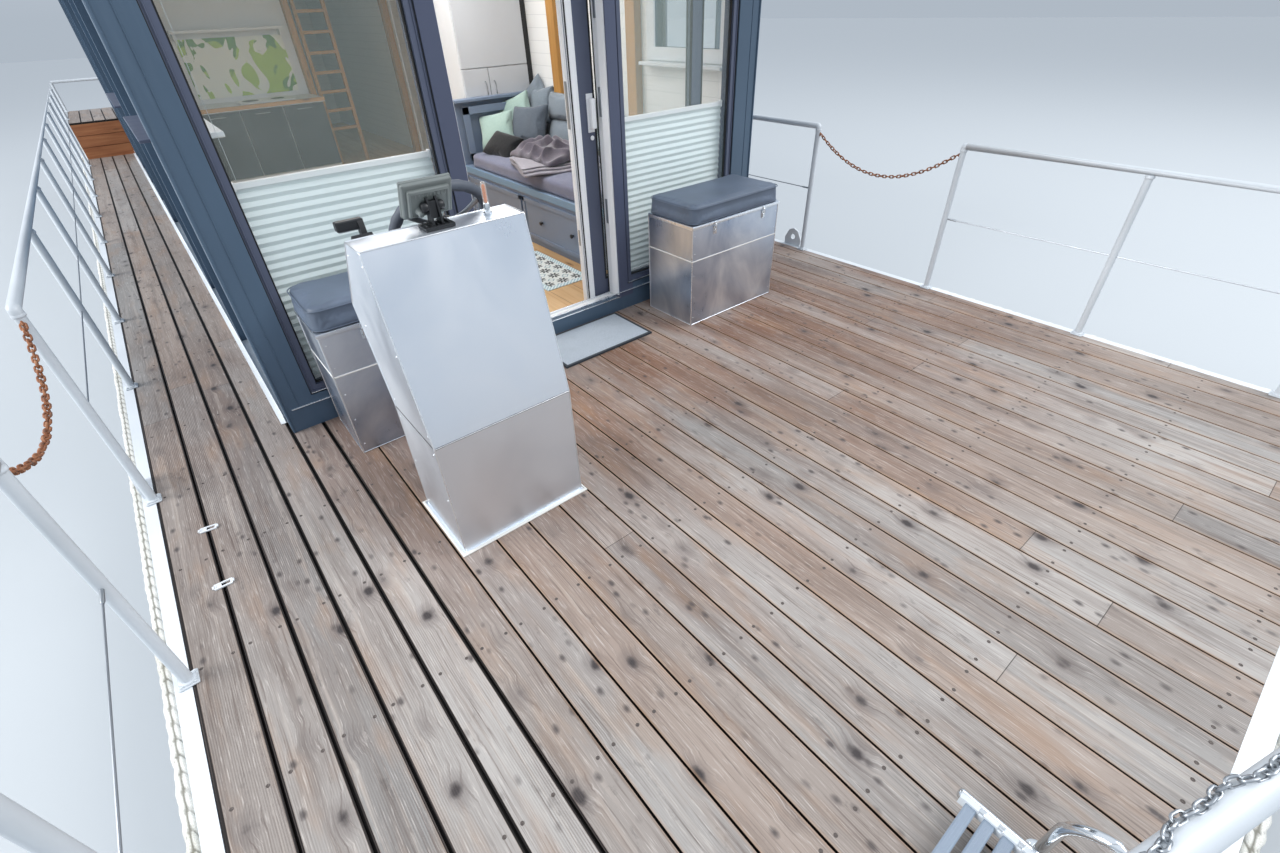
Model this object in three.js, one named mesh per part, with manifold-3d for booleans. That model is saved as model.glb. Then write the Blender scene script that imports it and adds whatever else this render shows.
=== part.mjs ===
import * as THREE from "three";
import { mergeVertices } from "three/addons/utils/BufferGeometryUtils.js";
import Module from "manifold-3d";

const wasm = await Module();
wasm.setup();

// Driving dimensions, in millimetres.
// x runs forward and is 0 at the bow end of the planking, y runs to port from the centre line,
// and z runs up from the bottom of the floats.

const seat = 0.3; // gap between pieces that rest on each other
const running = 6; // gap beside a piece that moves
const midLength = 7901; // from the bow end of the planking aft to the middle of the whole boat

const deckTop = 1040;
const plank = { pitch: 150, groove: 8, grooveDepth: 20, thick: 28 };
const planksHalf = 2282;
const hullDeck = 840;

const float = { outer: 2250, inner: 1150, bow: 20, keelStart: -1000, keelEnd: -15300, stern: -15590, chamfer: 90 };
const fascia = { outer: 2332, thick: 47, bow: 60, height: 200, corner: 12, joint: -7350 };
const beam = { pitch: 1500, width: 80 };
const battenPitch = 1180; // upright strips on the outside of the cabin
const fender = { radius: 22, centreDrop: 30, corner: 30, sides: 10 };

const cabin = {
  front: -3431, frontThick: 120, aft: -13330, halfWidth: 1629, wall: 110,
  floorTop: 1100, top: 3370, trim: 46, planksEnd: -3462,
};
const roof = { front: 200, sides: 140, aft: 100, eaves: 60, crown: 130 };
const partition = { x: -9641, thick: 60, portEnd: 300 };

const stern = { front: -13341, aft: -15141, top: 1540, skin: 40 };

const rail = {
  radius: 21, wire: 4, height: 930, wireHeight: 487, footHalf: 42, footThick: 10, sides: 10,
  y: 2290, bowX: 30,
};

const paint = {
  white: material("#eceef0", 0.45, 0),
  blue: material("#4f6b8a", 0.5, 0),
  lavender: material("#666f86", 0.45, 0),
  deck: material("#93837a", 0.85, 0),
  newWood: material("#8a5436", 0.8, 0),
  oak: material("#c9a070", 0.6, 0),
  rope: material("#e6e1cf", 0.95, 0),
  aluminium: material("#b9bec6", 0.35, 0.9),
  glass: material("#cfe0dd", 0.05, 0),
  blind: material("#e3ecea", 0.9, 0),
  cushion: material("#4b515c", 0.55, 0),
  grey: material("#878c93", 0.6, 0),
  black: material("#23262a", 0.5, 0),
  chain: material("#8a5a44", 0.8, 0.5),
  steel: material("#c4c8cc", 0.25, 1),
  mat: material("#aeb2b4", 0.95, 0),
  bed: material("#80858f", 0.6, 0),
  mattress: material("#837c8a", 0.9, 0),
};

function material(color, roughness, metalness) {
  return new THREE.MeshStandardMaterial({ color, roughness, metalness });
}

// Solids from three.js geometry, joined and cut with manifold-3d

function solid(geometry) {
  const loose = geometry.index ? geometry.toNonIndexed() : geometry.clone();
  loose.deleteAttribute("normal");
  loose.deleteAttribute("uv");
  const merged = mergeVertices(loose, 1e-4);
  return new wasm.Manifold(
    new wasm.Mesh({
      numProp: 3,
      vertProperties: merged.attributes.position.array,
      triVerts: new Uint32Array(merged.index.array),
    }),
  );
}

function join(...solids) {
  return solids.flat(3).reduce((whole, next) => whole.add(next));
}

function cut(whole, ...tools) {
  return tools.flat(3).reduce((left, tool) => left.subtract(tool), whole);
}

function mesh(name, shape, paintOfIt) {
  const data = shape.simplify(0.01).getMesh(); // closes up slivers that joins leave along a shared edge
  const geometry = new THREE.BufferGeometry();
  geometry.setAttribute("position", new THREE.BufferAttribute(data.vertProperties, 3));
  geometry.setIndex(new THREE.BufferAttribute(data.triVerts, 1));
  geometry.computeVertexNormals();
  const made = new THREE.Mesh(geometry, paintOfIt);
  made.name = name;
  return made;
}

function box(x0, x1, y0, y1, z0, z1) {
  const geometry = new THREE.BoxGeometry(Math.abs(x1 - x0), Math.abs(y1 - y0), Math.abs(z1 - z0));
  return solid(geometry.translate((x0 + x1) / 2, (y0 + y1) / 2, (z0 + z1) / 2));
}

function outline(points) {
  return new THREE.Shape(points.map(([u, v]) => new THREE.Vector2(u, v)));
}

// An outline of [y, z] points carried along x
function alongX(points, x0, x1) {
  const geometry = new THREE.ExtrudeGeometry(outline(points), { depth: x1 - x0, bevelEnabled: false });
  const turn = new THREE.Matrix4().makeBasis(
    new THREE.Vector3(0, 1, 0), new THREE.Vector3(0, 0, 1), new THREE.Vector3(1, 0, 0));
  return solid(geometry.applyMatrix4(turn).translate(x0, 0, 0));
}

// An outline of [x, z] points carried along y, with its edges rounded off by bevel
function alongY(points, y0, y1, bevel = 0) {
  const geometry = new THREE.ExtrudeGeometry(outline(points), {
    depth: y1 - y0 - 2 * bevel,
    bevelEnabled: bevel > 0, bevelSize: bevel, bevelThickness: bevel, bevelOffset: -bevel, bevelSegments: 2,
  });
  const turn = new THREE.Matrix4().makeBasis(
    new THREE.Vector3(1, 0, 0), new THREE.Vector3(0, 0, 1), new THREE.Vector3(0, -1, 0));
  return solid(geometry.applyMatrix4(turn).translate(0, y1 - bevel, 0));
}

// An outline of [x, y] points carried up z
function alongZ(points, z0, z1) {
  const geometry = new THREE.ExtrudeGeometry(outline(points), { depth: z1 - z0, bevelEnabled: false });
  return solid(geometry.translate(0, 0, z0));
}

// A round bar from a to b
function rod(a, b, radius, sides = 10) {
  const start = new THREE.Vector3(...a);
  const run = new THREE.Vector3(...b).sub(start);
  const geometry = new THREE.CylinderGeometry(radius, radius, run.length(), sides);
  geometry.translate(0, run.length() / 2, 0);
  const turn = new THREE.Quaternion().setFromUnitVectors(new THREE.Vector3(0, 1, 0), run.clone().normalize());
  return solid(geometry.applyQuaternion(turn).translate(...a));
}

// A round tube that follows a smooth curve through the points
function tube(points, radius, steps, sides = 8) {
  const path = new THREE.CatmullRomCurve3(points.map((p) => new THREE.Vector3(...p)), false, "centripetal");
  const ring = new THREE.Shape();
  ring.absarc(0, 0, radius, 0, 2 * Math.PI);
  const geometry = new THREE.ExtrudeGeometry(ring, { extrudePath: path, steps, curveSegments: sides });
  return solid(geometry);
}

// A box with rounded upright edges
function roundedPad(x0, x1, y0, y1, z0, z1, radius) {
  const shape = new THREE.Shape();
  const corners = [[x1, y0, -90], [x1, y1, 0], [x0, y1, 90], [x0, y0, 180]];
  for (const [x, y, from] of corners) {
    const cx = x + (x === x1 ? -radius : radius);
    const cy = y + (y === y1 ? -radius : radius);
    shape.absarc(cx, cy, radius, THREE.MathUtils.degToRad(from), THREE.MathUtils.degToRad(from + 90));
  }
  const geometry = new THREE.ExtrudeGeometry(shape, {
    depth: z1 - z0 - 2 * radius / 3, curveSegments: 3,
    bevelThickness: radius / 3, bevelSize: radius / 3, bevelOffset: -radius / 3, bevelSegments: 2,
  });
  return solid(geometry.translate(0, 0, z0 + radius / 3));
}

// Hull and deck

function floatHull(side) {
  const f = float;
  const profile = [
    [f.stern, 330], [f.keelEnd, 0], [f.keelStart, 0], [f.keelStart + 520, 110],
    [f.bow - 150, 380], [f.bow, 560], [f.bow, hullDeck - seat], [f.stern, hullDeck - seat],
  ];
  const low = Math.min(side * f.inner, side * f.outer);
  const high = Math.max(side * f.inner, side * f.outer);
  const section = [
    [low, f.chamfer], [low + f.chamfer, 0], [high - f.chamfer, 0], [high, f.chamfer], [high, hullDeck], [low, hullDeck],
  ];
  return alongY(profile, low, high).intersect(alongX(section, f.stern, f.bow));
}

function deckFrame() {
  const { outer, bow, corner, joint } = fascia;
  const inner = outer - fascia.thick;
  const low = deckTop - fascia.height;
  const edge = alongZ([
    [joint, -outer], [bow - corner, -outer], [bow, corner - outer], [bow, outer - corner],
    [bow - corner, outer], [joint, outer], [joint, inner], [seat, inner], [seat, -inner], [joint, -inner],
  ], low, deckTop);
  return join(edge, crossBeams(joint, 0), mooringEyes(), ladderBrackets());
}

function deckFrameAft() {
  const { outer, joint } = fascia;
  const inner = outer - fascia.thick;
  const low = deckTop - fascia.height;
  const sides = [[-outer, -inner], [inner, outer]].map(([y0, y1]) => box(stern.aft, joint - seat, y0, y1, low, deckTop));
  return join(sides, crossBeams(stern.aft + fascia.thick, joint));
}

// Beams from side to side between two places along the boat, let into the fascia each side
function crossBeams(x0, x1) {
  const reach = fascia.outer - fascia.thick + 10;
  const low = deckTop - fascia.height + 10;
  const under = deckTop - plank.thick - seat;
  const beams = [];
  for (let x = -600; x > x0; x -= beam.pitch)
    if (x < x1) beams.push(box(x - beam.width / 2, x + beam.width / 2, -reach, reach, low, under));
  if (x0 < stern.front) beams.push(box(stern.aft + 2, stern.aft + fascia.thick, -reach, reach, low, under));
  return beams;
}

// A plate with a rounded head and an eye, upright on the fascia each side, abreast of the cabin front
function mooringEyes() {
  const eye = { x: -3440, half: 80, rise: 70, hole: 22, thick: 12 };
  return [-1, 1].map((side) => {
    const y = side * (fascia.outer - 12);
    const plate = alongY(
      [[eye.x - eye.half, deckTop - 20], [eye.x + eye.half, deckTop - 20], [eye.x + eye.half, deckTop + eye.rise * 0.8],
        [eye.x + eye.half * 0.55, deckTop + eye.rise * 1.75], [eye.x, deckTop + eye.rise * 2],
        [eye.x - eye.half * 0.55, deckTop + eye.rise * 1.75], [eye.x - eye.half, deckTop + eye.rise * 0.8]],
      y - eye.thick / 2, y + eye.thick / 2);
    const bore = rod([eye.x, y - 20, deckTop + eye.rise], [eye.x, y + 20, deckTop + eye.rise], eye.hole, 12);
    return cut(plate, bore);
  });
}

// Boards lying fore and aft, as one slab with the gaps between the boards cut into its top
function boards(x0, x1, y0, y1, top, firstGap) {
  const low = top - plank.thick;
  const points = [[y0, low], [y1, low], [y1, top]];
  const gaps = [];
  for (let y = firstGap; y < y1 - 20; y += plank.pitch) if (y > y0 + 20) gaps.push(y);
  for (const y of gaps.reverse())
    points.push(
      [y + plank.groove / 2, top], [y + plank.groove / 2, top - plank.grooveDepth],
      [y - plank.groove / 2, top - plank.grooveDepth], [y - plank.groove / 2, top]);
  points.push([y0, top]);
  return alongX(points, x0, x1);
}

// The rope runs level round both sides and the bow, mitred at its turns: rings of points joined by faces
function ropeFender() {
  const { radius, corner, sides: n } = fender;
  const y = fascia.outer + radius + seat;
  const x = fascia.bow + radius + seat;
  const turns = [-90, -60, -30, 0].map((deg) => {
    const a = THREE.MathUtils.degToRad(deg);
    return [x - corner + corner * Math.cos(a), -y + corner + corner * Math.sin(a)];
  });
  const half = [[stern.aft, -y], ...turns];
  const route = [...half, ...half.map(([px, py]) => [px, -py]).reverse()].map((p) => new THREE.Vector2(...p));
  const points = [];
  route.forEach((p, i) => {
    const before = p.clone().sub(route[i - 1] ?? p).normalize();
    const after = (route[i + 1] ?? p).clone().sub(p).normalize();
    const along = before.clone().add(after).normalize();
    const square = i && route[i + 1] ? before.dot(along) : 1;
    for (let k = 0; k < n; k++) {
      const a = (k / n) * 2 * Math.PI;
      const out = (radius * Math.cos(a)) / square;
      points.push(p.x + along.y * out, p.y - along.x * out, deckTop - fender.centreDrop + radius * Math.sin(a));
    }
  });
  const faces = [];
  const last = (route.length - 1) * n;
  for (let i = 0; i < last; i += n)
    for (let k = 0; k < n; k++) {
      const [a, b] = [i + k, i + ((k + 1) % n)];
      faces.push(a, b + n, b, a, a + n, b + n);
    }
  for (let k = 1; k < n - 1; k++) faces.push(0, k, k + 1, last, last + k + 1, last + k);
  const geometry = new THREE.BufferGeometry();
  geometry.setAttribute("position", new THREE.Float32BufferAttribute(points, 3));
  return solid(geometry.setIndex(faces));
}

// Stern deck, a raised platform the width of the boat over the steering gear

function sternFrame() {
  const low = deckTop - plank.thick;
  const top = stern.top - plank.thick - seat;
  const inner = planksHalf - stern.skin;
  return join(
    box(stern.aft, stern.front - 30, -planksHalf, -inner, low, top),
    box(stern.aft, stern.front - 30, inner, planksHalf, low, top),
    box(stern.aft, stern.aft + stern.skin, -inner, inner, low, top),
    box(-14300, -14240, -inner, inner, low, top),
    box(stern.front - 70, stern.front - 30 - seat, -inner, inner, low, top),
  );
}

function sternStep() {
  const rows = 3;
  const low = deckTop + seat;
  const pitch = (stern.top - plank.thick - seat - low) / rows;
  const points = [[stern.front - 30 + seat, low], [stern.front, low]];
  for (let i = 1; i < rows; i++)
    points.push(
      [stern.front, low + i * pitch - 4], [stern.front - 20, low + i * pitch - 4],
      [stern.front - 20, low + i * pitch + 4], [stern.front, low + i * pitch + 4]);
  points.push([stern.front, low + rows * pitch], [stern.front - 30 + seat, low + rows * pitch]);
  return alongY(points, -planksHalf, planksHalf);
}

// Cabin

const leaf = { y0: 275, width: 1028, lockStile: 160, stile: 100, sill: 130, thick: 45, low: cabin.floorTop + 12, high: 3170 };

const sideWindows = [
  // centre x, width, sill z, head z
  [-3941, 760, 2440, 3130],
  [-6641, 1000, 2340, 3130],
];

function sideWall(side) {
  const c = cabin;
  const x0 = c.aft;
  const x1 = c.front - c.frontThick - seat;
  const [low, high] = [side * c.halfWidth, side * (c.halfWidth - c.wall)].sort((a, b) => a - b);
  let wall = box(x0, x1, low, high, deckTop - plank.thick, c.top);
  const skin = [side * c.halfWidth, side * (c.halfWidth + c.trim)].sort((a, b) => a - b);
  for (let x = c.front - 1370; x > x0; x -= battenPitch) {
    if (sideWindows.some(([wx, width]) => Math.abs(wx - x) < width / 2 + 60)) continue;
    wall = wall.add(box(x - 30, x + 30, skin[0], skin[1], deckTop + seat, c.top));
  }
  wall = wall.add(box(x0, x0 + 60, skin[0], skin[1], deckTop + seat, c.top));
  const openings = sideWindows.map(([x, width, sill, head]) =>
    box(x - width / 2, x + width / 2, low - 100, high + 100, sill, head));
  return cut(wall, openings);
}

// Floor slab with the rail on it that the sliding door runs on
function cabinFloor() {
  const x1 = cabin.front - cabin.frontThick;
  const runner = x1 - running - leaf.thick / 2;
  return join(
    box(cabin.aft + 100 + seat, x1 - seat, -1518, 1518, deckTop - plank.thick, cabin.floorTop),
    box(runner - 4, runner + 4, doorway[0] - 40, leaf.y0 + leaf.width, cabin.floorTop - 1, leaf.low - seat),
  );
}

const aftWindow = { half: 600, sill: 2340, head: 3130 };

function aftWall() {
  const half = cabin.halfWidth - cabin.wall - seat;
  const { half: w, sill, head } = aftWindow;
  return cut(
    box(cabin.aft, cabin.aft + 100, -half, half, deckTop - plank.thick, cabin.top),
    box(cabin.aft - 10, cabin.aft + 110, -w, w, sill, head));
}

function aftPane() {
  const { half: w, sill, head } = aftWindow;
  return box(cabin.aft + 35, cabin.aft + 65, seat - w, w - seat, sill + seat, head - seat);
}

// Openings of the front frame: y from, y to, z from, z to
const frontLeft = [-1531, -558, deckTop + 170, 3140];
const doorway = [-470, 454, deckTop + 95, 3140];
const frontRight = [524, 1490, deckTop + 170, 3140];

function frontFrame() {
  const x0 = cabin.front - cabin.frontThick;
  const half = cabin.halfWidth + cabin.trim;
  const plate = join(
    box(x0, cabin.front, -half, half, deckTop + seat, cabin.top),
    box(x0, cabin.planksEnd - 2 * seat, 4 - cabin.halfWidth, cabin.halfWidth - 4, deckTop - plank.thick, deckTop + 90),
  );
  const holes = [frontLeft, doorway, frontRight].map(([y0, y1, z0, z1]) =>
    box(x0 - 10, cabin.front + 10, y0, y1, z0, z1));
  return cut(plate, holes);
}

const casing = 42; // width of a window's own frame
const pane = { front: 45, thick: 24 }; // depth of the glass behind the wall's face

function frontCasing([y0, y1, z0, z1]) {
  const x1 = cabin.front - 12;
  const x0 = x1 - 80;
  const ring = box(x0, x1, y0 + seat, y1 - seat, z0 + seat, z1 - seat);
  return cut(ring, box(x0 - 10, x1 + 10, y0 + casing, y1 - casing, z0 + casing, z1 - casing));
}

function frontPane([y0, y1, z0, z1]) {
  const x1 = cabin.front - pane.front;
  const g = casing + seat;
  return box(x1 - pane.thick, x1, y0 + g, y1 - g, z0 + g, z1 - g);
}

function blind([y0, y1, z0]) {
  const x1 = cabin.front - pane.front - pane.thick - 6;
  return box(x1 - 18, x1, y0 + casing + 4, y1 - casing - 4, z0 + casing + seat, deckTop + 1165);
}

function sidePane(side, [x, width, sill, head]) {
  const y = side * (cabin.halfWidth - 40);
  const g = seat;
  return box(x - width / 2 + g, x + width / 2 - g, y - 15, y + 15, sill + g, head - g);
}

function cabinRoof() {
  const half = cabin.halfWidth + roof.sides;
  const low = cabin.top + seat;
  const points = [
    [-half, low], [half, low], [half, low + roof.eaves], [half / 2, low + roof.crown * 0.85], [0, low + roof.crown],
    [-half / 2, low + roof.crown * 0.85], [-half, low + roof.eaves],
  ];
  return alongX(points, cabin.aft - roof.aft, cabin.front + roof.front);
}

// Sliding door leaf, open as it stands, behind the fixed port pane

function doorLeaf() {
  const x1 = cabin.front - cabin.frontThick - running;
  const x0 = x1 - leaf.thick;
  const y1 = leaf.y0 + leaf.width;
  const slab = box(x0, x1, leaf.y0, y1, leaf.low, leaf.high);
  const hole = box(x0 - 5, x1 + 5, leaf.y0 + leaf.lockStile, y1 - leaf.stile, leaf.low + leaf.sill, leaf.high - leaf.stile);
  const handleX = x1 + 40;
  const handle = join(
    box(x1 - 5, handleX, leaf.y0 + 118, leaf.y0 + 136, deckTop + 1150, deckTop + 1168),
    box(x1 - 5, handleX, leaf.y0 + 118, leaf.y0 + 136, deckTop + 1250, deckTop + 1268),
    box(handleX - 18, handleX, leaf.y0 + 118, leaf.y0 + 136, deckTop + 1140, deckTop + 1280),
  );
  return join(cut(slab, hole), handle);
}

function doorPane() {
  const x = cabin.front - cabin.frontThick - running - leaf.thick / 2;
  return box(
    x - 12, x + 12, leaf.y0 + leaf.lockStile + seat, leaf.y0 + leaf.width - leaf.stile - seat,
    leaf.low + leaf.sill + seat, leaf.high - leaf.stile - seat);
}

// Helm console, lockers and mat on the fore deck

const helm = {
  y0: -1355, y1: -802, foot: -2101, footAft: -2471, waist: 520, topFore: -2256, topZ: 1167,
  panelTop: [-2388, 1167], panelLow: [-2583, 902], // x and height of the upright face that the wheel is on
};

function consoleBox() {
  const low = deckTop + seat;
  const z = (h) => deckTop + h;
  const { foot, footAft, waist, panelTop, panelLow } = helm;
  const body = alongY([
    [footAft, low], [foot, low], [foot, z(waist)], [helm.topFore, z(helm.topZ)], [panelTop[0], z(panelTop[1])],
    [panelLow[0], z(panelLow[1])], [footAft + 12, z(waist)], [footAft, z(waist)],
  ], helm.y0, helm.y1);
  const flange = box(footAft - 12, foot + 12, helm.y0 - 12, helm.y1 + 12, low, low + 5);
  return join(body, flange);
}

// Steering wheel: its axis stands square to the console's aft upper face
const wheel = { y: -973, radius: 173, rim: 19, shaft: 118 };

function wheelFrame() {
  const [topX, topZ] = helm.panelTop;
  const [lowX, lowZ] = helm.panelLow;
  const up = new THREE.Vector3(topX - lowX, 0, topZ - lowZ).normalize();
  const axis = new THREE.Vector3(-up.z, 0, up.x);
  const side = new THREE.Vector3().crossVectors(up, axis);
  const foot = new THREE.Vector3((topX + lowX) / 2, wheel.y, deckTop + (topZ + lowZ) / 2);
  return new THREE.Matrix4().makeBasis(side, up, axis).setPosition(foot.addScaledVector(axis, wheel.shaft));
}

function helmWheel() {
  const ring = [];
  for (let i = 0; i <= 8; i++) {
    const a = (i / 8) * 2 * Math.PI;
    ring.push(new THREE.Vector2(wheel.radius + wheel.rim * Math.cos(a), wheel.rim * Math.sin(a)));
  }
  const rim = solid(new THREE.LatheGeometry(ring, 28).rotateX(Math.PI / 2));
  const hub = rod([0, 0, -wheel.shaft + seat], [0, 0, 14], 24, 14);
  const boss = rod([0, 0, -12], [0, 0, 16], 42, 16);
  const spokes = [90, 210, 330].map((deg) => {
    const a = THREE.MathUtils.degToRad(deg);
    const reach = wheel.radius - 4;
    return rod([0, 0, 0], [reach * Math.cos(a), reach * Math.sin(a), 0], 11, 8);
  });
  return join(rim, hub, boss, spokes);
}

function displayUnit() {
  const z = deckTop + helm.topZ + seat;
  const body = [[-2389, 36], [-2353, 19], [-2301, 132], [-2337, 149]].map(([x, h]) => [x, z + h]);
  return join(
    box(-2350, -2285, -1135, -1035, z, z + 12),
    box(-2347, -2317, -1100, -1070, z + 6, z + 70),
    alongY(body, -1168, -1003, 6),
  );
}

// Throttle: its box sits on the aft upper face by the starboard edge, and its grip stands out to starboard
function throttle() {
  const y = -1290;
  const z = (h) => deckTop + h;
  return join(
    alongY([[-2400.1, z(1151.1)], [-2459.4, z(1070.6)], [-2483.6, z(1094.6)], [-2430.2, z(1167.1)]], y - 32, y + 32, 4),
    alongY([[-2457, z(1124)], [-2439, z(1148)], [-2456, z(1204)], [-2484, z(1196)]], y + 4, y + 22),
    box(-2486, -2456, y - 62, y + 24, z(1176), z(1206)),
  );
}

const lockers = [
  // name, x front, x back, y0, y1
  ["starboard", -3020, -3386, -1453, -683],
  ["port", -2926, -3333, 641, 1411],
];
const locker = { wall: 4, top: 622, lidTop: 640, cushionTop: 752, overhang: 8 };

function lockerBox([, x1, x0, y0, y1]) {
  const low = deckTop + seat;
  const w = locker.wall;
  return cut(
    box(x0, x1, y0, y1, low, deckTop + locker.top),
    box(x0 + w, x1 - w, y0 + w, y1 - w, low + w, deckTop + locker.top + 10),
  );
}

function lockerLid([, x1, x0, y0, y1]) {
  const z0 = deckTop + locker.top + seat;
  return box(x0, x1 + 3, y0 - 3, y1 + 3, z0, deckTop + locker.lidTop);
}

function lockerCushion([, x1, x0, y0, y1]) {
  const o = locker.overhang;
  return roundedPad(
    x0 + 2, x1 + o, y0 - o, y1 + o, deckTop + locker.lidTop + seat, deckTop + locker.cushionTop, 45);
}

function doorMat() {
  return box(-3409, -3017, -271, 383, deckTop + seat, deckTop + 12);
}

// Rails

function post(x, y, low) {
  const f = rail.footHalf;
  return [
    rod([x, y, low + 2], [x, y, deckTop + rail.height - 3], rail.radius - 2, rail.sides),
    box(x - f, x + f, y - f * 0.95, y + f * 0.95, low + seat, low + rail.footThick),
  ];
}

function knob(x, y) {
  const ball = new THREE.SphereGeometry(rail.radius + 1, rail.sides, 6).rotateX(Math.PI / 2);
  return solid(ball.translate(x, y, deckTop + rail.height));
}

// A run of rail along the side, its posts at xs standing on the decks at lows
function sideRail(xs, y, lows, x0, x1) {
  const z = deckTop + rail.height;
  const w = deckTop + rail.wireHeight;
  return join(
    xs.map((x, i) => post(x, y, lows[i])),
    rod([x0, y, z], [x1, y, z], rail.radius, rail.sides),
    rod([xs[0], y, w], [Math.max(x1 - 40, xs[xs.length - 1]), y, w], rail.wire, 6),
    knob(x0, y), knob(x1, y),
  );
}

// A run of rail across the boat at x, its posts at ys
function crossRail(ys, x, low, y0, y1) {
  const z = deckTop + rail.height;
  return join(
    ys.map((y) => post(x, y, low)),
    rod([x, y0, z], [x, y1, z], rail.radius, rail.sides),
  );
}

function foreRail(side, xs, bowYs) {
  const y = side * rail.y;
  const low = xs.map(() => deckTop);
  const last = bowYs[bowYs.length - 1];
  return join(
    sideRail([...xs, rail.bowX], y, [...low, deckTop], xs[0], rail.bowX),
    crossRail(bowYs, rail.bowX, deckTop, y, last),
    knob(rail.bowX, last),
  );
}

const aftPosts = [-3313, -4580, -5740, -6900, -8060, -9220, -10380, -11540, -12700, -13860, -15080];
const gateAft = aftPosts[0];
const portFore = [-2215, -1237, -316];
const portBow = [1620, 735, -150];
const starboardFore = [-2196, -1321, -400];

// Bow rail gate, swung in over the deck. It turns on pins in two lugs and its bars clear the ladder's arc
const gate = {
  x: rail.bowX, y: -200, swing: 16.7, length: 1143, stile: 15, bore: 8, pin: 7, low: 1740, lugs: [1330, 1900],
};

function gateLugs() {
  const last = portBow[portBow.length - 1];
  return gate.lugs.map((z) => [
    box(gate.x - 13, gate.x + 13, gate.y - 12, last - 10, z - 8, z),
    rod([gate.x, gate.y, z - 4], [gate.x, gate.y, z + 30], gate.pin, 12),
  ]);
}

function bowGate() {
  const top = deckTop + rail.height;
  const turn = THREE.MathUtils.degToRad(gate.swing);
  const at = (along, z) => [gate.x - along * Math.sin(turn), gate.y - along * Math.cos(turn), z];
  const [lowLug, highLug] = gate.lugs;
  const stile = cut(rod(at(0, lowLug + seat), at(0, top - 3), gate.stile, 12),
    box(gate.x - 30, gate.x + 30, gate.y - 30, gate.y + 30, highLug - 8 - seat, highLug + seat));
  const bores = [lowLug, highLug].map((z) => rod(at(0, z - 10), at(0, z + 32), gate.bore, 12));
  return join(
    cut(stile, bores),
    rod(at(0, top), at(gate.length, top), rail.radius, rail.sides),
    rod(at(gate.bore + 3, gate.low), at(gate.length - 30, gate.low), 11, 8),
    rod(at(gate.length - 30, gate.low), at(gate.length - 30, top - 3), gate.stile - 2, 10),
    rod(at(gate.length * 0.5, gate.low), at(gate.length * 0.5, top - 3), 8, 8),
    knob(...at(gate.length, top)),
  );
}

// Chain across a gate: it hangs between its two posts
function gateChain(x0, x1, y, drop) {
  const z = deckTop + 880;
  const flat = (rail.radius - 2) * Math.cos(Math.PI / rail.sides) + seat; // the posts' flats face the gate
  const link = 10; // the shackles that lie level at the two ends
  const from = x0 + flat + link;
  const to = x1 - flat - link;
  const hang = [0, 0.15, 0.35, 0.5, 0.65, 0.85, 1].map((t) => [
    from + (to - from) * t, y, z - drop * 4 * t * (1 - t),
  ]);
  return tube([[x0 + flat, y, z], ...hang, [x1 - flat, y, z]], 6, 22, 6);
}

// Boarding ladder, folded in on to the fore deck, on two brackets at the bow edge

const ladder = { y0: -1137, y1: -737, pivotX: 130, pivotZ: deckTop + 60, aft: -441, rail: 15, pin: 8 };

function ladderBrackets() {
  const { pivotX, pivotZ, pin } = ladder;
  return [ladder.y0 - 16, ladder.y1 + 16].map((y) => cut(join(
    alongY([
      [4, deckTop - 5], [58, deckTop - 5], [60, deckTop + 6], [pivotX + 22, pivotZ - 22],
      [pivotX + 22, pivotZ + 22], [pivotX - 22, pivotZ + 22], [4, deckTop + 20],
    ], y - 6, y + 6),
    box(4, 58, y - 30, y + 30, deckTop - 5, deckTop + 6),
  ), rod([pivotX, y - 10, pivotZ], [pivotX, y + 10, pivotZ], pin + 0.6, 16)));
}

function ladderBody() {
  const z = ladder.pivotZ;
  const sides = [ladder.y0 + 12, ladder.y1 - 12].map((y) =>
    rod([ladder.aft, y, z], [ladder.pivotX + 20, y, z], ladder.rail, 8));
  const treads = [0, 1, 2, 3].map((i) =>
    box(ladder.aft + 20 + 46 * i, ladder.aft + 48 + 46 * i, ladder.y0 + 12, ladder.y1 - 12, z - 12, z + 12));
  const pin = rod([ladder.pivotX, ladder.y0 - 26, z], [ladder.pivotX, ladder.y1 + 26, z], ladder.pin, 16);
  return join(sides, treads, pin);
}

// Outboard motor between the floats

const outboard = { pivotX: -15620, pivotZ: 800, steerX: -15660, plate: 296, shaft: 170 };

function transomBracket() {
  const arms = [-150, 150].map((y) => alongY(
    [[-15501, 600], [stern.aft + 2 - seat, 865], [stern.aft + 2 - seat, 980], [-15501, 735]], y - 24, y + 24));
  const board = box(-15541, -15500, -190, 190, 540, 720);
  const legs = [-150, 150].map((y) => box(-15501, -15440, y - 25, y + 25, 560, 700));
  const cheeks = [-85, 85].map((y) => {
    const plate = alongY(
      [[-15645, 660], [-15540, 600], [-15540, 735], [-15575, 818], [-15645, 818]], y - 9, y + 9);
    const bore = rod([outboard.pivotX, y - 20, outboard.pivotZ], [outboard.pivotX, y + 20, outboard.pivotZ], 12.6, 16);
    return cut(plate, bore);
  });
  return [arms, board, legs, cheeks].flat();
}

function swivelBracket() {
  const { pivotX, pivotZ, steerX } = outboard;
  const block = box(steerX - 32, pivotX + 22, -69, 69, 600, 825);
  const neck = rod([steerX, 0, 560], [steerX, 0, 854], 24, 14);
  const pin = rod([pivotX, -96, pivotZ], [pivotX, 96, pivotZ], 12, 16);
  return join(block, neck, pin);
}

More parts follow.
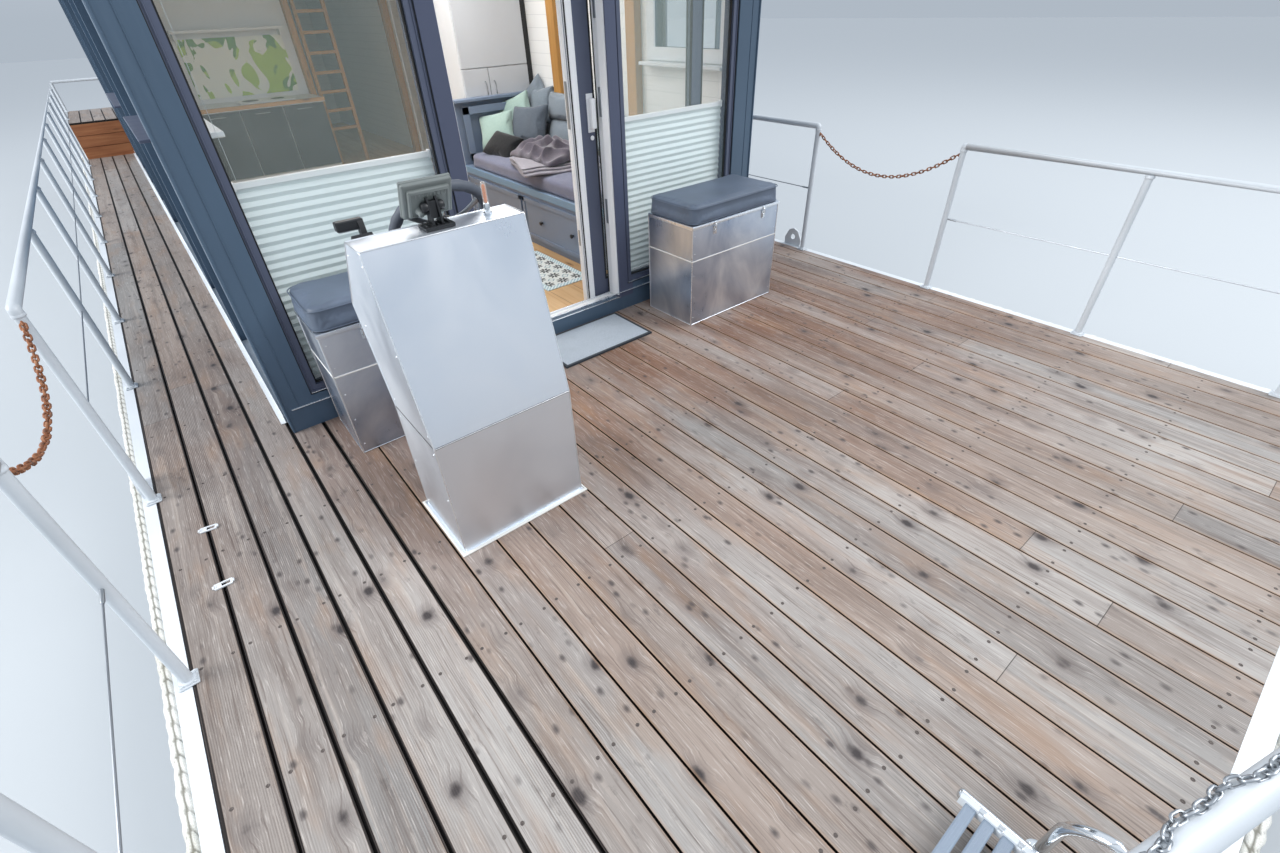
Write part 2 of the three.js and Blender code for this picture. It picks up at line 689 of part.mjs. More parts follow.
function outboardLeg() {
  const { steerX, plate, shaft } = outboard;
  const foil = [
    [steerX - 60, 0], [steerX - 85, 32], [steerX - 130, 34], [steerX - 190, 8], [steerX - 190, -8],
    [steerX - 130, -34], [steerX - 85, -32],
  ];
  const yoke = (z0, z1) => cut(
    box(steerX - 110, steerX + 42, -45, 45, z0, z1),
    rod([steerX, 0, z0 - 5], [steerX, 0, z1 + 5], 25.4, 14));
  const gearcase = [
    [0, 0], [18, 12], [34, 45], [40, 110], [38, 180], [28, 212], [0, 212],
  ].map(([r, h]) => new THREE.Vector2(r, h));
  const casing = solid(
    new THREE.LatheGeometry(gearcase, 14).rotateZ(Math.PI / 2).translate(steerX - 20, 0, shaft));
  return join(
    alongZ(foil, shaft, 870), yoke(540, 585), yoke(835, 876),
    box(steerX - 250, steerX - 40, -60, 60, plate, plate + 8), casing,
    alongY([[steerX - 70, shaft - 20], [steerX - 110, 40], [steerX - 175, 40], [steerX - 195, shaft - 20]], -6, 6),
    alongZ([[steerX + 30, -70], [steerX + 30, 70], [steerX - 60, 110], [steerX - 220, 100], [steerX - 220, -100],
      [steerX - 60, -110]], 860, 886),
  );
}

function outboardCowl() {
  const { steerX } = outboard;
  const z = 886 + seat;
  return alongY([
    [steerX + 80, z], [steerX + 90, z + 120], [steerX + 60, z + 260], [steerX - 10, z + 330], [steerX - 120, z + 350],
    [steerX - 215, z + 320], [steerX - 262, z + 230], [steerX - 280, z + 100], [steerX - 262, z],
  ], -142, 142, 30);
}

function propeller() {
  const { steerX, shaft } = outboard;
  const x0 = steerX - 20 - 212 - seat;
  const hub = rod([x0, 0, shaft], [x0 - 62, 0, shaft], 26, 14);
  const blades = [90, 210, 330].map((deg) => {
    const shape = new THREE.Shape();
    shape.moveTo(10, -16);
    shape.quadraticCurveTo(70, -52, 112, -18);
    shape.quadraticCurveTo(122, 10, 96, 34);
    shape.quadraticCurveTo(50, 40, 10, 16);
    const blade = new THREE.ExtrudeGeometry(shape, { depth: 6, bevelEnabled: false, curveSegments: 4 });
    blade.translate(0, 0, -3).rotateX(THREE.MathUtils.degToRad(32));
    blade.rotateY(-Math.PI / 2).rotateX(THREE.MathUtils.degToRad(deg));
    return solid(blade.translate(x0 - 34, 0, shaft));
  });
  return join(hub, blades);
}

// Furniture seen through the glass

const bed = { x0: -6041, x1: -3961, front: 653, back: 1518, top: 520, mattress: 640, board: 1040 };

function daybed() {
  const low = cabin.floorTop + seat;
  return join(
    box(bed.x0, bed.x1, bed.front, bed.back, low, deckTop + bed.top),
    box(bed.x0 - 30, bed.x0 + 5, bed.front, bed.back, low, deckTop + bed.board),
  );
}

function mattress() {
  return roundedPad(
    bed.x0 + 5 + seat, bed.x1, bed.front - 10, bed.back, deckTop + bed.top + seat, deckTop + bed.mattress, 40);
}

function cabinet() {
  return box(-6641, bed.x0 - 30 - seat, 793, bed.back, cabin.floorTop + seat, deckTop + 2060);
}

function kitchenCounter() {
  const low = cabin.floorTop + seat;
  return join(
    box(partition.x + partition.thick + seat, -9041, -1518, 300, low, deckTop + 880),
    box(partition.x + partition.thick + seat, -9001, -1518, 320, deckTop + 860, deckTop + 900),
  );
}

// The whole boat

const boat = new THREE.Group();
boat.position.x = midLength;
const add = (name, shape, paintOfIt) => boat.add(mesh(name, shape, paintOfIt));

const sides = [["starboard", -1], ["port", 1]];

for (const [name, side] of sides) {
  const [y0, y1] = [side * (cabin.halfWidth + seat), side * planksHalf].sort((a, b) => a - b);
  add("float_" + name, floatHull(side), paint.blue);
  add("deck_side_" + name,
    boards(stern.front + seat, cabin.planksEnd - seat, y0, y1, deckTop, -planksHalf + plank.pitch), paint.deck);
  add("cabin_wall_" + name, sideWall(side), paint.blue);
  sideWindows.forEach((row, i) =>
    add("side_glass_" + name + "_" + (i + 1), sidePane(side, row), paint.glass));
  add("rail_aft_" + name,
    sideRail(aftPosts, side * rail.y, aftPosts.map((x) => (x < stern.front ? stern.top : deckTop)), gateAft, -15080),
    paint.white);
}

add("deck_frame", deckFrame(), paint.white);
add("deck_frame_aft", deckFrameAft(), paint.white);
add("transom_bracket", join(transomBracket()), paint.white);
add("deck_fore",
  boards(cabin.planksEnd, 0, -planksHalf, planksHalf, deckTop, -planksHalf + plank.pitch), paint.deck);
add("rope_fender", ropeFender(), paint.rope);
add("stern_frame", sternFrame(), paint.white);
add("stern_step", sternStep(), paint.newWood);
add("stern_deck",
  boards(stern.aft, stern.front, -planksHalf, planksHalf, stern.top, -planksHalf + plank.pitch), paint.deck);

add("cabin_floor", cabinFloor(), paint.oak);
add("cabin_wall_aft", aftWall(), paint.blue);
add("aft_glass", aftPane(), paint.glass);
add("cabin_front", frontFrame(), paint.blue);
add("cabin_roof", cabinRoof(), paint.blue);
add("partition",
  box(partition.x, partition.x + partition.thick, -1518, partition.portEnd, cabin.floorTop + seat, cabin.top - seat),
  paint.white);
add("front_casing_starboard", frontCasing(frontLeft), paint.lavender);
add("front_casing_port", frontCasing(frontRight), paint.lavender);
add("front_glass_starboard", frontPane(frontLeft), paint.glass);
add("front_glass_port", frontPane(frontRight), paint.glass);
add("blind_starboard", blind(frontLeft), paint.blind);
add("blind_port", blind(frontRight), paint.blind);
add("door_leaf", doorLeaf(), paint.lavender);
add("door_glass", doorPane(), paint.glass);

add("console", consoleBox(), paint.aluminium);
const wheelMesh = mesh("helm_wheel", helmWheel(), paint.black);
wheelMesh.applyMatrix4(wheelFrame());
boat.add(wheelMesh);
add("display", displayUnit(), paint.grey);
add("throttle", throttle(), paint.black);
for (const row of lockers) {
  add("locker_" + row[0], lockerBox(row), paint.aluminium);
  add("locker_lid_" + row[0], lockerLid(row), paint.aluminium);
  add("locker_cushion_" + row[0], lockerCushion(row), paint.cushion);
}
add("door_mat", doorMat(), paint.mat);

add("rail_fore_starboard", foreRail(-1, starboardFore, [-1400]), paint.white);
add("rail_fore_port", join(foreRail(1, portFore, portBow), gateLugs()), paint.white);
add("bow_gate", bowGate(), paint.white);
const sternEnd = rail.y - rail.radius - 1 - seat;
add("rail_stern", crossRail([-1145, 0, 1145], -15080, stern.top, -sternEnd, sternEnd), paint.white);
add("chain_starboard", gateChain(gateAft, starboardFore[0], -rail.y, 150), paint.chain);
add("chain_port", gateChain(gateAft, portFore[0], rail.y, 210), paint.chain);
add("boarding_ladder", ladderBody(), paint.steel);

add("daybed", daybed(), paint.bed);
add("mattress", mattress(), paint.mattress);
add("cabinet", cabinet(), paint.white);
add("kitchen_counter", kitchenCounter(), paint.white);

add("outboard_swivel", swivelBracket(), paint.black);
add("outboard_leg", outboardLeg(), paint.black);
add("outboard_cowl", outboardCowl(), paint.black);
add("propeller", propeller(), paint.aluminium);

export default boat;
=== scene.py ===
import bpy
import bmesh
import math
import numpy as np
from mathutils import Matrix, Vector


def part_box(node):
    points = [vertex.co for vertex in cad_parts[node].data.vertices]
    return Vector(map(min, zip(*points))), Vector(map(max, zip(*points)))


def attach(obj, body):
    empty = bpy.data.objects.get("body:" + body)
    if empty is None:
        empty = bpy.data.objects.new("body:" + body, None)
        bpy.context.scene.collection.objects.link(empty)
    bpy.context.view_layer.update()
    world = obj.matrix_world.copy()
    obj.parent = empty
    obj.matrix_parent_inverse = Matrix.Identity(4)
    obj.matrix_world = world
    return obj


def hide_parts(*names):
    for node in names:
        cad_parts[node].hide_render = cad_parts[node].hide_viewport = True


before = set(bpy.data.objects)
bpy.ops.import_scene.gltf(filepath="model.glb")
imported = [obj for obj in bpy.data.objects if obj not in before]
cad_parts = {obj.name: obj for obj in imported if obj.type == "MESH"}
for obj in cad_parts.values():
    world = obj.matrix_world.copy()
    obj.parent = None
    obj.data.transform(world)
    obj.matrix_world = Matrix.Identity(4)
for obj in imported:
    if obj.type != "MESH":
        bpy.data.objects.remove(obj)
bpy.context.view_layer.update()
print("frame loaded")

# pieces are made in millimetres from the bow end of the planking (aft is minus), the middle line and the keel
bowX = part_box("deck_fore")[1][0]


# meshes from arrays


def gridFaces(rows, cols, roundRows=False, roundCols=False):
    # quads between neighbours of a rows x cols grid of points; in
    # a round direction the last line joins the first
    i = np.arange(rows if roundRows else rows - 1)[:, None]
    j = np.arange(cols if roundCols else cols - 1)[None, :]
    ii, jj = (i + 1) % rows, (j + 1) % cols
    return np.stack([i * cols + j, ii * cols + j, ii * cols + jj, i * cols + jj], -1).reshape(-1, 4)


def ringFaces(rows, cols):
    # a stack of rings: the walls between them and a flat face at both ends
    ends = np.arange(cols)
    return [gridFaces(rows, cols, False, True), ends[None], (ends[::-1] + (rows - 1) * cols)[None]]


def ringLoft(rings):
    # rings of the same count joined in turn
    rings = np.asarray(rings, float)
    return rings.reshape(-1, 3), ringFaces(*rings.shape[:2])


def shell(near, far):
    # two grids of points, the one the other's back, joined round the edge
    n, m = near.shape[:2]
    rim = np.concatenate([np.arange(m), np.arange(1, n) * m + m - 1, (n - 1) * m + np.arange(m - 1)[::-1],
                          np.arange(1, n - 1)[::-1] * m])
    after = np.roll(rim, -1)
    faces = gridFaces(n, m)
    return (np.concatenate([near.reshape(-1, 3), far.reshape(-1, 3)]),
            [faces, faces[:, ::-1] + n * m, np.stack([rim, rim + n * m, after + n * m, after], 1)])


def gather(*parts):
    # several (points, faces) pairs as one, each one's face numbers moved past the points before it
    points, faces, first = [], [], 0
    for p, groups in parts:
        points.append(p)
        faces += [g + first for g in groups]
        first += len(p)
    return np.concatenate(points), faces


def carry(path, profile, up=(0, 0, 1), closed=False):
    # each profile point (a, b) goes to path + a * across + b * over, where
    # across = along x up and over = across x along
    path = np.asarray(path, float)
    ahead = np.roll(path, -1, 0) - path
    behind = path - np.roll(path, 1, 0)
    if not closed:
        ahead[-1], behind[0] = behind[-1], ahead[0]
    unit = lambda v: v / np.maximum(np.linalg.norm(v, axis=1, keepdims=True), 1e-9)
    along = unit(unit(ahead) + unit(behind))
    across = unit(np.cross(along, np.broadcast_to(np.asarray(up, float), along.shape)))
    over = np.cross(across, along)
    mitre = 1 / np.clip((unit(ahead) * along).sum(1), 0.5, 1)
    profile = np.broadcast_to(profile, (len(path),) + np.shape(profile)[-2:])
    points = (path[:, None] + (profile[..., :1] * mitre[:, None, None]) * across[:, None]
              + profile[..., 1:] * over[:, None])
    n, m = len(path), profile.shape[1]
    return points.reshape(-1, 3), [gridFaces(n, m, True, True)] if closed else ringFaces(n, m)


def circle(radius, sides=12):
    # points at equal angles, radius * (cos, sin)
    a = np.arange(sides) / sides * 2 * np.pi
    return np.stack([radius * np.cos(a), radius * np.sin(a)], 1)


def oblong(a, b):
    # a rectangular section, twice a wide and twice b high
    return [(-a, -b), (a, -b), (a, b), (-a, b)]


def around(x0, y0, x1, y1, z):
    # the corners of a level rectangle, in order
    return [(x0, y0, z), (x1, y0, z), (x1, y1, z), (x0, y1, z)]


def roundedOutline(x0, y0, x1, y1, r):
    # a rectangle with nine points on a quarter circle at each corner
    a = np.linspace(0, np.pi / 2, 9)
    arc = np.stack([np.cos(a), np.sin(a)], 1) * r
    return np.concatenate([arc + (x1 - r, y1 - r), arc[::-1] * (-1, 1) + (x0 + r, y1 - r),
                           arc * (-1, -1) + (x0 + r, y0 + r), arc[::-1] * (1, -1) + (x1 - r, y0 + r)])


def bent(corners, radius, steps=6):
    # a line through the corners, each inner corner replaced by a quadratic
    # curve that starts and ends radius away from it
    corners = [np.asarray(c, float) for c in corners]
    line = [corners[0]]
    for a, b, c in zip(corners, corners[1:], corners[2:]):
        r = min(radius, np.linalg.norm(b - a) * 0.49, np.linalg.norm(c - b) * 0.49)
        p = b + (a - b) / np.linalg.norm(a - b) * r
        q = b + (c - b) / np.linalg.norm(c - b) * r
        t = np.linspace(0, 1, steps + 1)[:, None]
        line += list((1 - t) ** 2 * p + 2 * t * (1 - t) * b + t ** 2 * q)
    return np.array(line + [corners[-1]])


def pipe(corners, radius, bend=0.0, sides=12, up=(0, 0, 1), steps=6):
    # a round bar along the corners
    line = bent(corners, bend, steps) if bend else np.asarray(corners, float)
    step = line[1] - line[0]
    if abs(np.dot(step / np.linalg.norm(step), up)) > 0.95:
        up = (0, 1, 0) if abs(step[0]) > abs(step[1]) else (1, 0, 0)
    return carry(line, circle(radius, sides), up)


def turned(profile, centre, axis=(0, 0, 1), sides=24):
    # each profile point (r, h) goes round the axis at radius r and height h; the ends close on flat rings
    axis = np.asarray(axis, float) / np.linalg.norm(axis)
    side = np.cross(axis, (1, 0, 0) if abs(axis[0]) < 0.9 else (0, 1, 0))
    side /= np.linalg.norm(side)
    other = np.cross(axis, side)
    a = np.arange(sides) / sides * 2 * np.pi
    ring = np.cos(a)[:, None] * side + np.sin(a)[:, None] * other
    profile = np.asarray(profile, float)
    height = (profile[:, 1, None] * axis)[:, None]
    points = np.asarray(centre, float) + profile[:, 0, None, None] * ring + height
    n = len(profile)
    faces = [gridFaces(n, sides, False, True),
             np.arange(sides)[::-1][None], (np.arange(sides) + (n - 1) * sides)[None]]
    return points.reshape(-1, 3), faces


def block(low, high, radius=2.0, fine=False):
    # a box with rounded edges: each direction n goes to the inner box's corner on its side + radius * n
    low, high = np.minimum(low, high).astype(float), np.maximum(low, high).astype(float)
    radius = min(radius, (high - low).min() * 0.49)
    rings, sides = (8, 16) if fine else (4, 8)
    phi = (np.arange(rings) + 0.5) * np.pi / rings
    theta = (np.arange(sides) + 0.5) * 2 * np.pi / sides
    n = np.stack([np.sin(phi)[:, None] * np.cos(theta), np.sin(phi)[:, None] * np.sin(theta),
                  np.cos(phi)[:, None] + 0 * theta], -1)
    flat = np.where(np.abs(n) < 1e-9, 0, np.sign(n))
    reach = n / np.abs(n).max(-1, keepdims=True).clip(0.7) * radius
    points = (low + high) / 2 + flat * ((high - low) / 2 - radius) + reach
    return np.clip(points, low, high).reshape(-1, 3), ringFaces(rings, sides)


def slab(outline, depth, axis=1, start=0.0):
    # a flat outline of (u, v) points carried along one axis by depth; u and v are the other two axes in order
    outline = np.asarray(outline, float)
    n = len(outline)
    rest = [k for k in range(3) if k != axis]
    points = np.zeros((2 * n, 3))
    points[:, rest] = np.tile(outline, (2, 1))
    points[:n, axis], points[n:, axis] = start, start + depth
    return points, ringFaces(2, n)


def moved(part, matrix):
    # every point times a 4 x 4 matrix
    points, faces = part
    matrix = np.asarray(matrix, float)
    return points @ matrix[:3, :3].T + matrix[:3, 3], faces


def repeated(placed, groups):
    # the same faces on each set of placed points
    count, n = placed.shape[:2]
    shift = (np.arange(count) * n)[:, None, None]
    return placed.reshape(-1, 3), [(g[None] + shift).reshape(-1, g.shape[1]) for g in groups]


def copies(part, places):
    # the part once per place: point + place
    return repeated(part[0][None] + np.asarray(places, float)[:, None], part[1])


def piece(name, part, finish, body="boat", smooth=30, replaces=(), uv=None):
    # one part or a list of them as a mesh object in the finish, riding on a body; smooth is the angle up
    # to which faces shade as one; place in metres = millimetres / 1000 + the bow end's x
    points, groups = gather(*part) if isinstance(part, list) else part
    points = np.asarray(points, float) / 1000 + (bowX, 0, 0)
    groups = [g for g in groups if len(g)]
    mesh = bpy.data.meshes.new(name)
    loops = np.concatenate([g.ravel() for g in groups]).astype(np.int32)
    sizes = np.concatenate([np.full(len(g), g.shape[1]) for g in groups])
    starts = np.concatenate([[0], np.cumsum(sizes)[:-1]]).astype(np.int32)
    mesh.vertices.add(len(points))
    mesh.vertices.foreach_set("co", np.asarray(points, np.float32).ravel())
    mesh.loops.add(len(loops))
    mesh.loops.foreach_set("vertex_index", loops)
    mesh.polygons.add(len(starts))
    mesh.polygons.foreach_set("loop_start", starts)
    mesh.update(calc_edges=True)
    mesh.validate()
    work = bmesh.new()
    work.from_mesh(mesh)
    bmesh.ops.recalc_face_normals(work, faces=work.faces)
    work.to_mesh(mesh)
    work.free()
    if uv is not None:
        layer = mesh.uv_layers.new(name="along")
        index = np.empty(len(mesh.loops), np.int32)
        mesh.loops.foreach_get("vertex_index", index)
        layer.data.foreach_set("uv", np.asarray(uv, np.float32)[index].ravel())
    mesh.shade_smooth()
    if smooth < 180:
        mesh.set_sharp_from_angle(angle=math.radians(smooth))
    made = bpy.data.objects.new(name, mesh)
    bpy.context.scene.collection.objects.link(made)
    mesh.materials.append(finishes[finish])
    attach(made, body)
    if replaces:
        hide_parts(*([replaces] if isinstance(replaces, str) else replaces))
    return made


# finishes


def tint(code):
    # a screen colour such as 4a6585 as linear light
    parts = [int(code[i:i + 2], 16) / 255 for i in (0, 2, 4)]
    return tuple(c / 12.92 if c <= 0.04045 else ((c + 0.055) / 1.055) ** 2.4 for c in parts) + (1.0,)


def shade(code, factor):
    # a colour made lighter or darker by a factor, in linear light
    return tuple(min(1, c * factor) for c in tint(code)[:3]) + (1,)


class Value:
    # one output of a material's node; + - * / ** between outputs and numbers, numpy's too, make Math nodes
    __array_ufunc__ = None

    def __init__(self, paint, socket):
        self.paint, self.socket = paint, socket


for word, kind in (("add", "ADD"), ("sub", "SUBTRACT"), ("mul", "MULTIPLY"), ("truediv", "DIVIDE"),
                   ("pow", "POWER")):
    setattr(Value, f"__{word}__", lambda a, b, kind=kind: a.paint.math(kind, a, b))
    setattr(Value, f"__r{word}__", lambda a, b, kind=kind: a.paint.math(kind, b, a))


class Paint:
    # builds one material's nodes; every pattern reads the Object coordinates,
    # and a colour may be given as its code
    def __init__(self, name, **sockets):
        self.material = bpy.data.materials.new(name)
        self.material.use_nodes = True
        self.tree = self.material.node_tree
        self.shader = self.tree.nodes["Principled BSDF"]
        self.place = self.add("ShaderNodeTexCoord", out="Object")
        for key, value in sockets.items():
            self.put(key.replace("_", " "), value)

    def feed(self, socket, value):
        # a link from an output, or a plain value
        if isinstance(value, Value):
            self.tree.links.new(value.socket, socket)
        else:
            socket.default_value = tint(value) if isinstance(value, str) else value

    def put(self, key, value):
        # the same for an input of the shader, with short words for two long ones
        key = {"Specular": "Specular IOR Level", "Sheen": "Sheen Weight"}.get(key, key)
        self.feed(self.shader.inputs[key], value)

    def node(self, kind, inputs, **settings):
        # a node with its settings and its inputs
        made = self.tree.nodes.new(kind)
        for key, value in settings.items():
            setattr(made, key, value)
        for key, value in inputs.items():
            self.feed(made.inputs[key], value)
        return made

    def add(self, kind, inputs={}, out=0, **settings):
        # a node, given back as one of its outputs
        return Value(self, self.node(kind, inputs, **settings).outputs[out])

    def math(self, kind, a, b=0.0):
        # a Math node: kind of a and b
        return self.add("ShaderNodeMath", {0: a, 1: b}, operation=kind)

    def split(self, vector=None):
        # x, y and z of a vector
        made = self.node("ShaderNodeSeparateXYZ", {0: vector or self.place})
        return [Value(self, socket) for socket in made.outputs]

    def join(self, x=0.0, y=0.0, z=0.0):
        # a vector of x, y and z
        return self.add("ShaderNodeCombineXYZ", {0: x, 1: y, 2: z})

    def stretch(self, scale, vector=None, shift=(0, 0, 0)):
        # vector * scale + shift
        return self.add("ShaderNodeMapping", {"Vector": vector or self.place, "Scale": scale,
                                              "Location": shift})

    def noise(self, scale, vector=None, detail=4.0, rough=0.55, twist=0.0):
        # cloudy noise, about 0.5
        return self.add("ShaderNodeTexNoise", {"Vector": vector or self.place, "Scale": scale, "Detail": detail,
                                               "Roughness": rough, "Distortion": twist}, "Fac")

    def grain(self, scale, vector=None, shift=(0, 0, 0), **look):
        # noise drawn out by a scale per axis
        return self.noise(1.0, self.stretch(scale, vector, shift), **look)

    def cells(self, scale, vector=None, jitter=1.0):
        # distance to the nearest of scattered points
        return self.add("ShaderNodeTexVoronoi", {"Vector": vector or self.place, "Scale": scale,
                                                 "Randomness": jitter}, "Distance")

    def chance(self, vector):
        # a number from 0 to 1, the same for the same vector
        return self.add("ShaderNodeTexWhiteNoise", {"Vector": vector}, "Value", noise_dimensions="3D")

    def band(self, value, low, high):
        # 0 at low and 1 at high, straight between them
        return self.add("ShaderNodeMapRange", {"Value": value, "From Min": low, "From Max": high})

    def ramp(self, value, *stops):
        # colours at places from 0 to 1, mixed between them
        made = self.node("ShaderNodeValToRGB", {"Fac": value})
        marks = made.color_ramp.elements
        while len(marks) < len(stops):
            marks.new(0.5)
        for mark, (at, colour) in zip(marks, stops):
            mark.position, mark.color = at, tint(colour)
        return Value(self, made.outputs["Color"])

    def mix(self, amount, a, b, kind="MIX"):
        # a * (1 - amount) + b * amount, or another kind of blend
        return self.add("ShaderNodeMix", {0: amount, 6: a, 7: b}, 2, data_type="RGBA", blend_type=kind)

    def bump(self, height, strength=0.3, depth=0.002):
        # the surface tilts as a relief of this height would
        made = self.add("ShaderNodeBump", {"Height": height, "Strength": strength, "Distance": depth})
        self.put("Normal", made)


def plainPaint(name, colour, rough, wear=0.12, metal=0.0, grain=18.0):
    # one colour with slow cloudy change, fine speckle in the roughness and a slight orange-peel bump
    p = Paint(name, Metallic=metal)
    p.put("Base Color", p.mix(p.band(p.noise(1.3, detail=5), 0.3, 0.7), shade(colour, 1 - wear),
                              shade(colour, 1 + wear * 0.6)))
    p.put("Roughness", p.noise(grain, detail=3) * 0.14 + rough - 0.07)
    p.bump(p.noise(grain * 12, detail=2), 0.12, 0.0008)
    return p.material


def nearestEdge(p, x, y, low, high):
    # distance to the nearest side of a rectangle
    ends = p.math("MINIMUM", x - low[0], high[0] - x)
    return p.math("MINIMUM", ends, p.math("MINIMUM", y - low[1], high[1] - y))


boards = {"pitch": 0.150, "firstGap": -2.282, "length": 3.9, "rib": 0.0066, "gapShadeFrom": -1.40}


def boardPaint(name, top, greyOnly=False):
    # weathered decking: each board has its own tone, grain drawn out
    # along it, knots, ribs, screw rows, and painted shade in and beside the gaps
    p = Paint(name, Specular=0.28)
    x, y, z = p.split()
    lane = (y - boards["firstGap"]) / boards["pitch"]
    board = p.math("FLOOR", lane)
    across = p.math("FRACT", lane)
    own = p.chance(p.join(board, 3.1, 0.0))
    run = (x + own * 9.0) / boards["length"]
    tone = p.chance(p.join(board, p.math("FLOOR", run), 7.0))
    warmth = p.chance(p.join(board, p.math("FLOOR", run), 19.0))
    slow = p.grain((0.9, 3.2, 1), detail=5, twist=0.4)
    # knots are stretched cells, and the grain bends round them
    cell = p.stretch((4.2, 1 / boards["pitch"], 0.001), shift=(0.13, -boards["firstGap"] / boards["pitch"], 0))
    knot = p.cells(1.0, cell, jitter=0.95) + (p.noise(34, detail=4) - 0.5) * 0.12
    pins = p.cells(1.0, p.stretch((9.5, 16.0, 0.001), shift=(0.7, 0.4, 0)))
    pins = pins + (p.noise(60, detail=3) - 0.5) * 0.10
    bend = (1.0 - p.band(knot, 0.04, 0.34)) * 0.022
    sway = bend + p.grain((1.4, 5, 1), detail=2) * 0.05
    shifted = p.join(x + own * 31.0, y + sway, 0.0)
    streak = p.grain((2.6, 120, 1), shifted, detail=6, rough=0.62)
    lines = p.grain((0.9, 46, 1), shifted, shift=(5, 2, 0), detail=3)
    base = p.mix(p.band(tone, 0.1, 0.95), "8b8885", "b1aca7")
    base = p.mix(p.band(warmth, 0.2, 1.0) * 0.65, base, "9a8678")
    if not greyOnly:
        # boards walked on and rained off least, under the eaves, keep their brown
        near = (x - 4.35) ** 2.0 + (y - 0.75) ** 2.0 * 0.8
        keep = (1.0 - p.band(near, 0.6, 9.0)) * p.band(slow, 0.26, 0.58)
        base = p.mix(keep * 0.9, base, "744a30")
    base = p.mix(p.band(slow, 0.48, 0.8) * 0.5, base, "6f5849")
    base = p.mix(p.band(streak, 0.48, 0.30) * 0.7, base, "574740")
    dark = p.grain((0.8, 15, 1), shifted, shift=(1, 8, 0), detail=5, twist=0.3)
    base = p.mix(p.band(dark, 0.52, 0.70) * 0.55, base, "62554e")
    base = p.mix(p.band(lines, 0.55, 0.74) * 0.40, base, "c3b7ac")
    # weather: small dark smudges, warm patches within a board, and fine pale flecks along the grain
    smudge = p.grain((7.5, 17, 1), shift=(2, 9, 0), detail=6, rough=0.7)
    base = p.mix(p.band(smudge, 0.60, 0.74) * 0.62, base, "4b4645")
    patch = p.grain((2.2, 9, 1), shift=(7, 1, 4), detail=4)
    base = p.mix(p.band(patch, 0.52, 0.68) * 0.26, base, "a98362")
    fleck = p.grain((11, 190, 1), shifted, detail=4)
    base = p.mix(p.band(fleck, 0.56, 0.70) * 0.45, base, "d2cac3")
    base = p.mix((1.0 - p.band(knot, 0.06, 0.30)) * 0.62, base, "5f5654")
    base = p.mix(1.0 - p.band(knot, 0.06, 0.135), base, "3f3a3a")
    some = p.band(p.grain((1.7, 7, 1), shift=(4, 6, 0), detail=3), 0.36, 0.50)
    base = p.mix((1.0 - p.band(pins, 0.07, 0.21)) * some * 0.85, base, "474141")
    # edges of the boards are warmer, ends meet in a thin dark line
    edge = p.math("MINIMUM", across, 1.0 - across) * boards["pitch"]
    base = p.mix(p.band(edge, 0.012, 0.0045) * 0.40, base, "ab8767")
    # to starboard the boards lie farther apart: painted shade darkens their edges beside the gaps
    base = p.mix(p.band(y, boards["gapShadeFrom"] + 0.02, boards["gapShadeFrom"] - 0.02) * p.band(edge, 0.0100, 0.0086),
                 base, "191412")
    base = p.mix(1.0 - p.band(p.math("FRACT", run), 0.0002, 0.0009), base, "2a211d")
    ribs = p.math("SINE", (y + sway * 0.05) * (2 * math.pi / boards["rib"]))
    worn = p.band(p.grain((1.1, 4, 1), shift=(3, 3, 3), detail=2), 0.42, 0.62)
    base = p.mix(p.band(ribs, 0.2, -1.0) * worn * 0.42, base, "665b55")
    # the boards' sides below the top, down in the gaps, are painted near black: painted shade between the
    # boards
    p.put("Base Color", p.mix(p.band(z, top - 0.0012, top - 0.004), base, "1d1714"))
    p.put("Roughness", p.band(streak, -0.2, 1.1))
    p.bump(streak * 0.7 + ribs * worn * 0.22 - (1.0 - p.band(knot, 0.04, 0.1)) * 0.4, 0.55, 0.0025)
    return p.material


def sheetMetalPaint(name, colour, low=0.24, high=0.50):
    # aluminium sheet: hazy smears change the roughness, fine upright scratches, small dull dents
    p = Paint(name, Metallic=0.92)
    smear = p.noise(2.6, p.stretch((1, 1, 0.6)), detail=6, twist=0.8)
    brushed = p.grain((260, 260, 3), detail=3)
    p.put("Base Color", p.mix(p.band(smear, 0.32, 0.7), colour, "e9edf2"))
    p.put("Roughness", p.band(smear, 0.25, 0.75) * (high - low) + low + brushed * 0.08)
    dents = p.band(p.cells(9.0), 0.0, 0.10)
    p.bump(brushed * 0.25 + dents + p.noise(3.2) * 2.4, 0.14, 0.0012)
    return p.material


def sidedPaint(name, outside, inside, inner):
    # a wall's outer skin in one paint and its inner boards in another: inner(p, place) is 1 inside
    p = Paint(name)
    x, y, z = p.split()
    within = inner(p, (x, y, z))
    cloud = p.noise(0.9, p.stretch((1, 1, 0.5)), detail=6)
    streak = p.grain((9, 9, 0.7), detail=4)
    out = p.mix(p.band(cloud, 0.3, 0.72), *outside)
    out = p.mix(p.band(streak, 0.56, 0.8) * 0.22, out, "7f8f9c")
    # the two posts beside the doorway are painted as the window frames are
    beside = p.math("ABSOLUTE", y) - 0.505
    post = p.band(p.math("ABSOLUTE", beside), 0.062, 0.060) * p.band(x, cabin["front"] - 0.16,
                                                                     cabin["front"] - 0.15)
    high = p.band(z, 3.143, 3.141) * p.band(z, 1.128, 1.132)
    out = p.mix(post * high, out, "4d546a")
    board = p.math("ABSOLUTE", p.math("FRACT", z / 0.096) - 0.5)
    groove = p.band(board, 0.47, 0.495)
    ins = p.mix(p.band(cloud, 0.3, 0.7), *inside)
    ins = p.mix(groove * 0.45, ins, "a9adb0")
    p.put("Base Color", p.mix(within, out, ins))
    p.put("Roughness", cloud * 0.18 + 0.32)
    p.bump(p.noise(140, detail=2) * 0.12 - groove * within, 0.4, 0.0015)
    return p.material


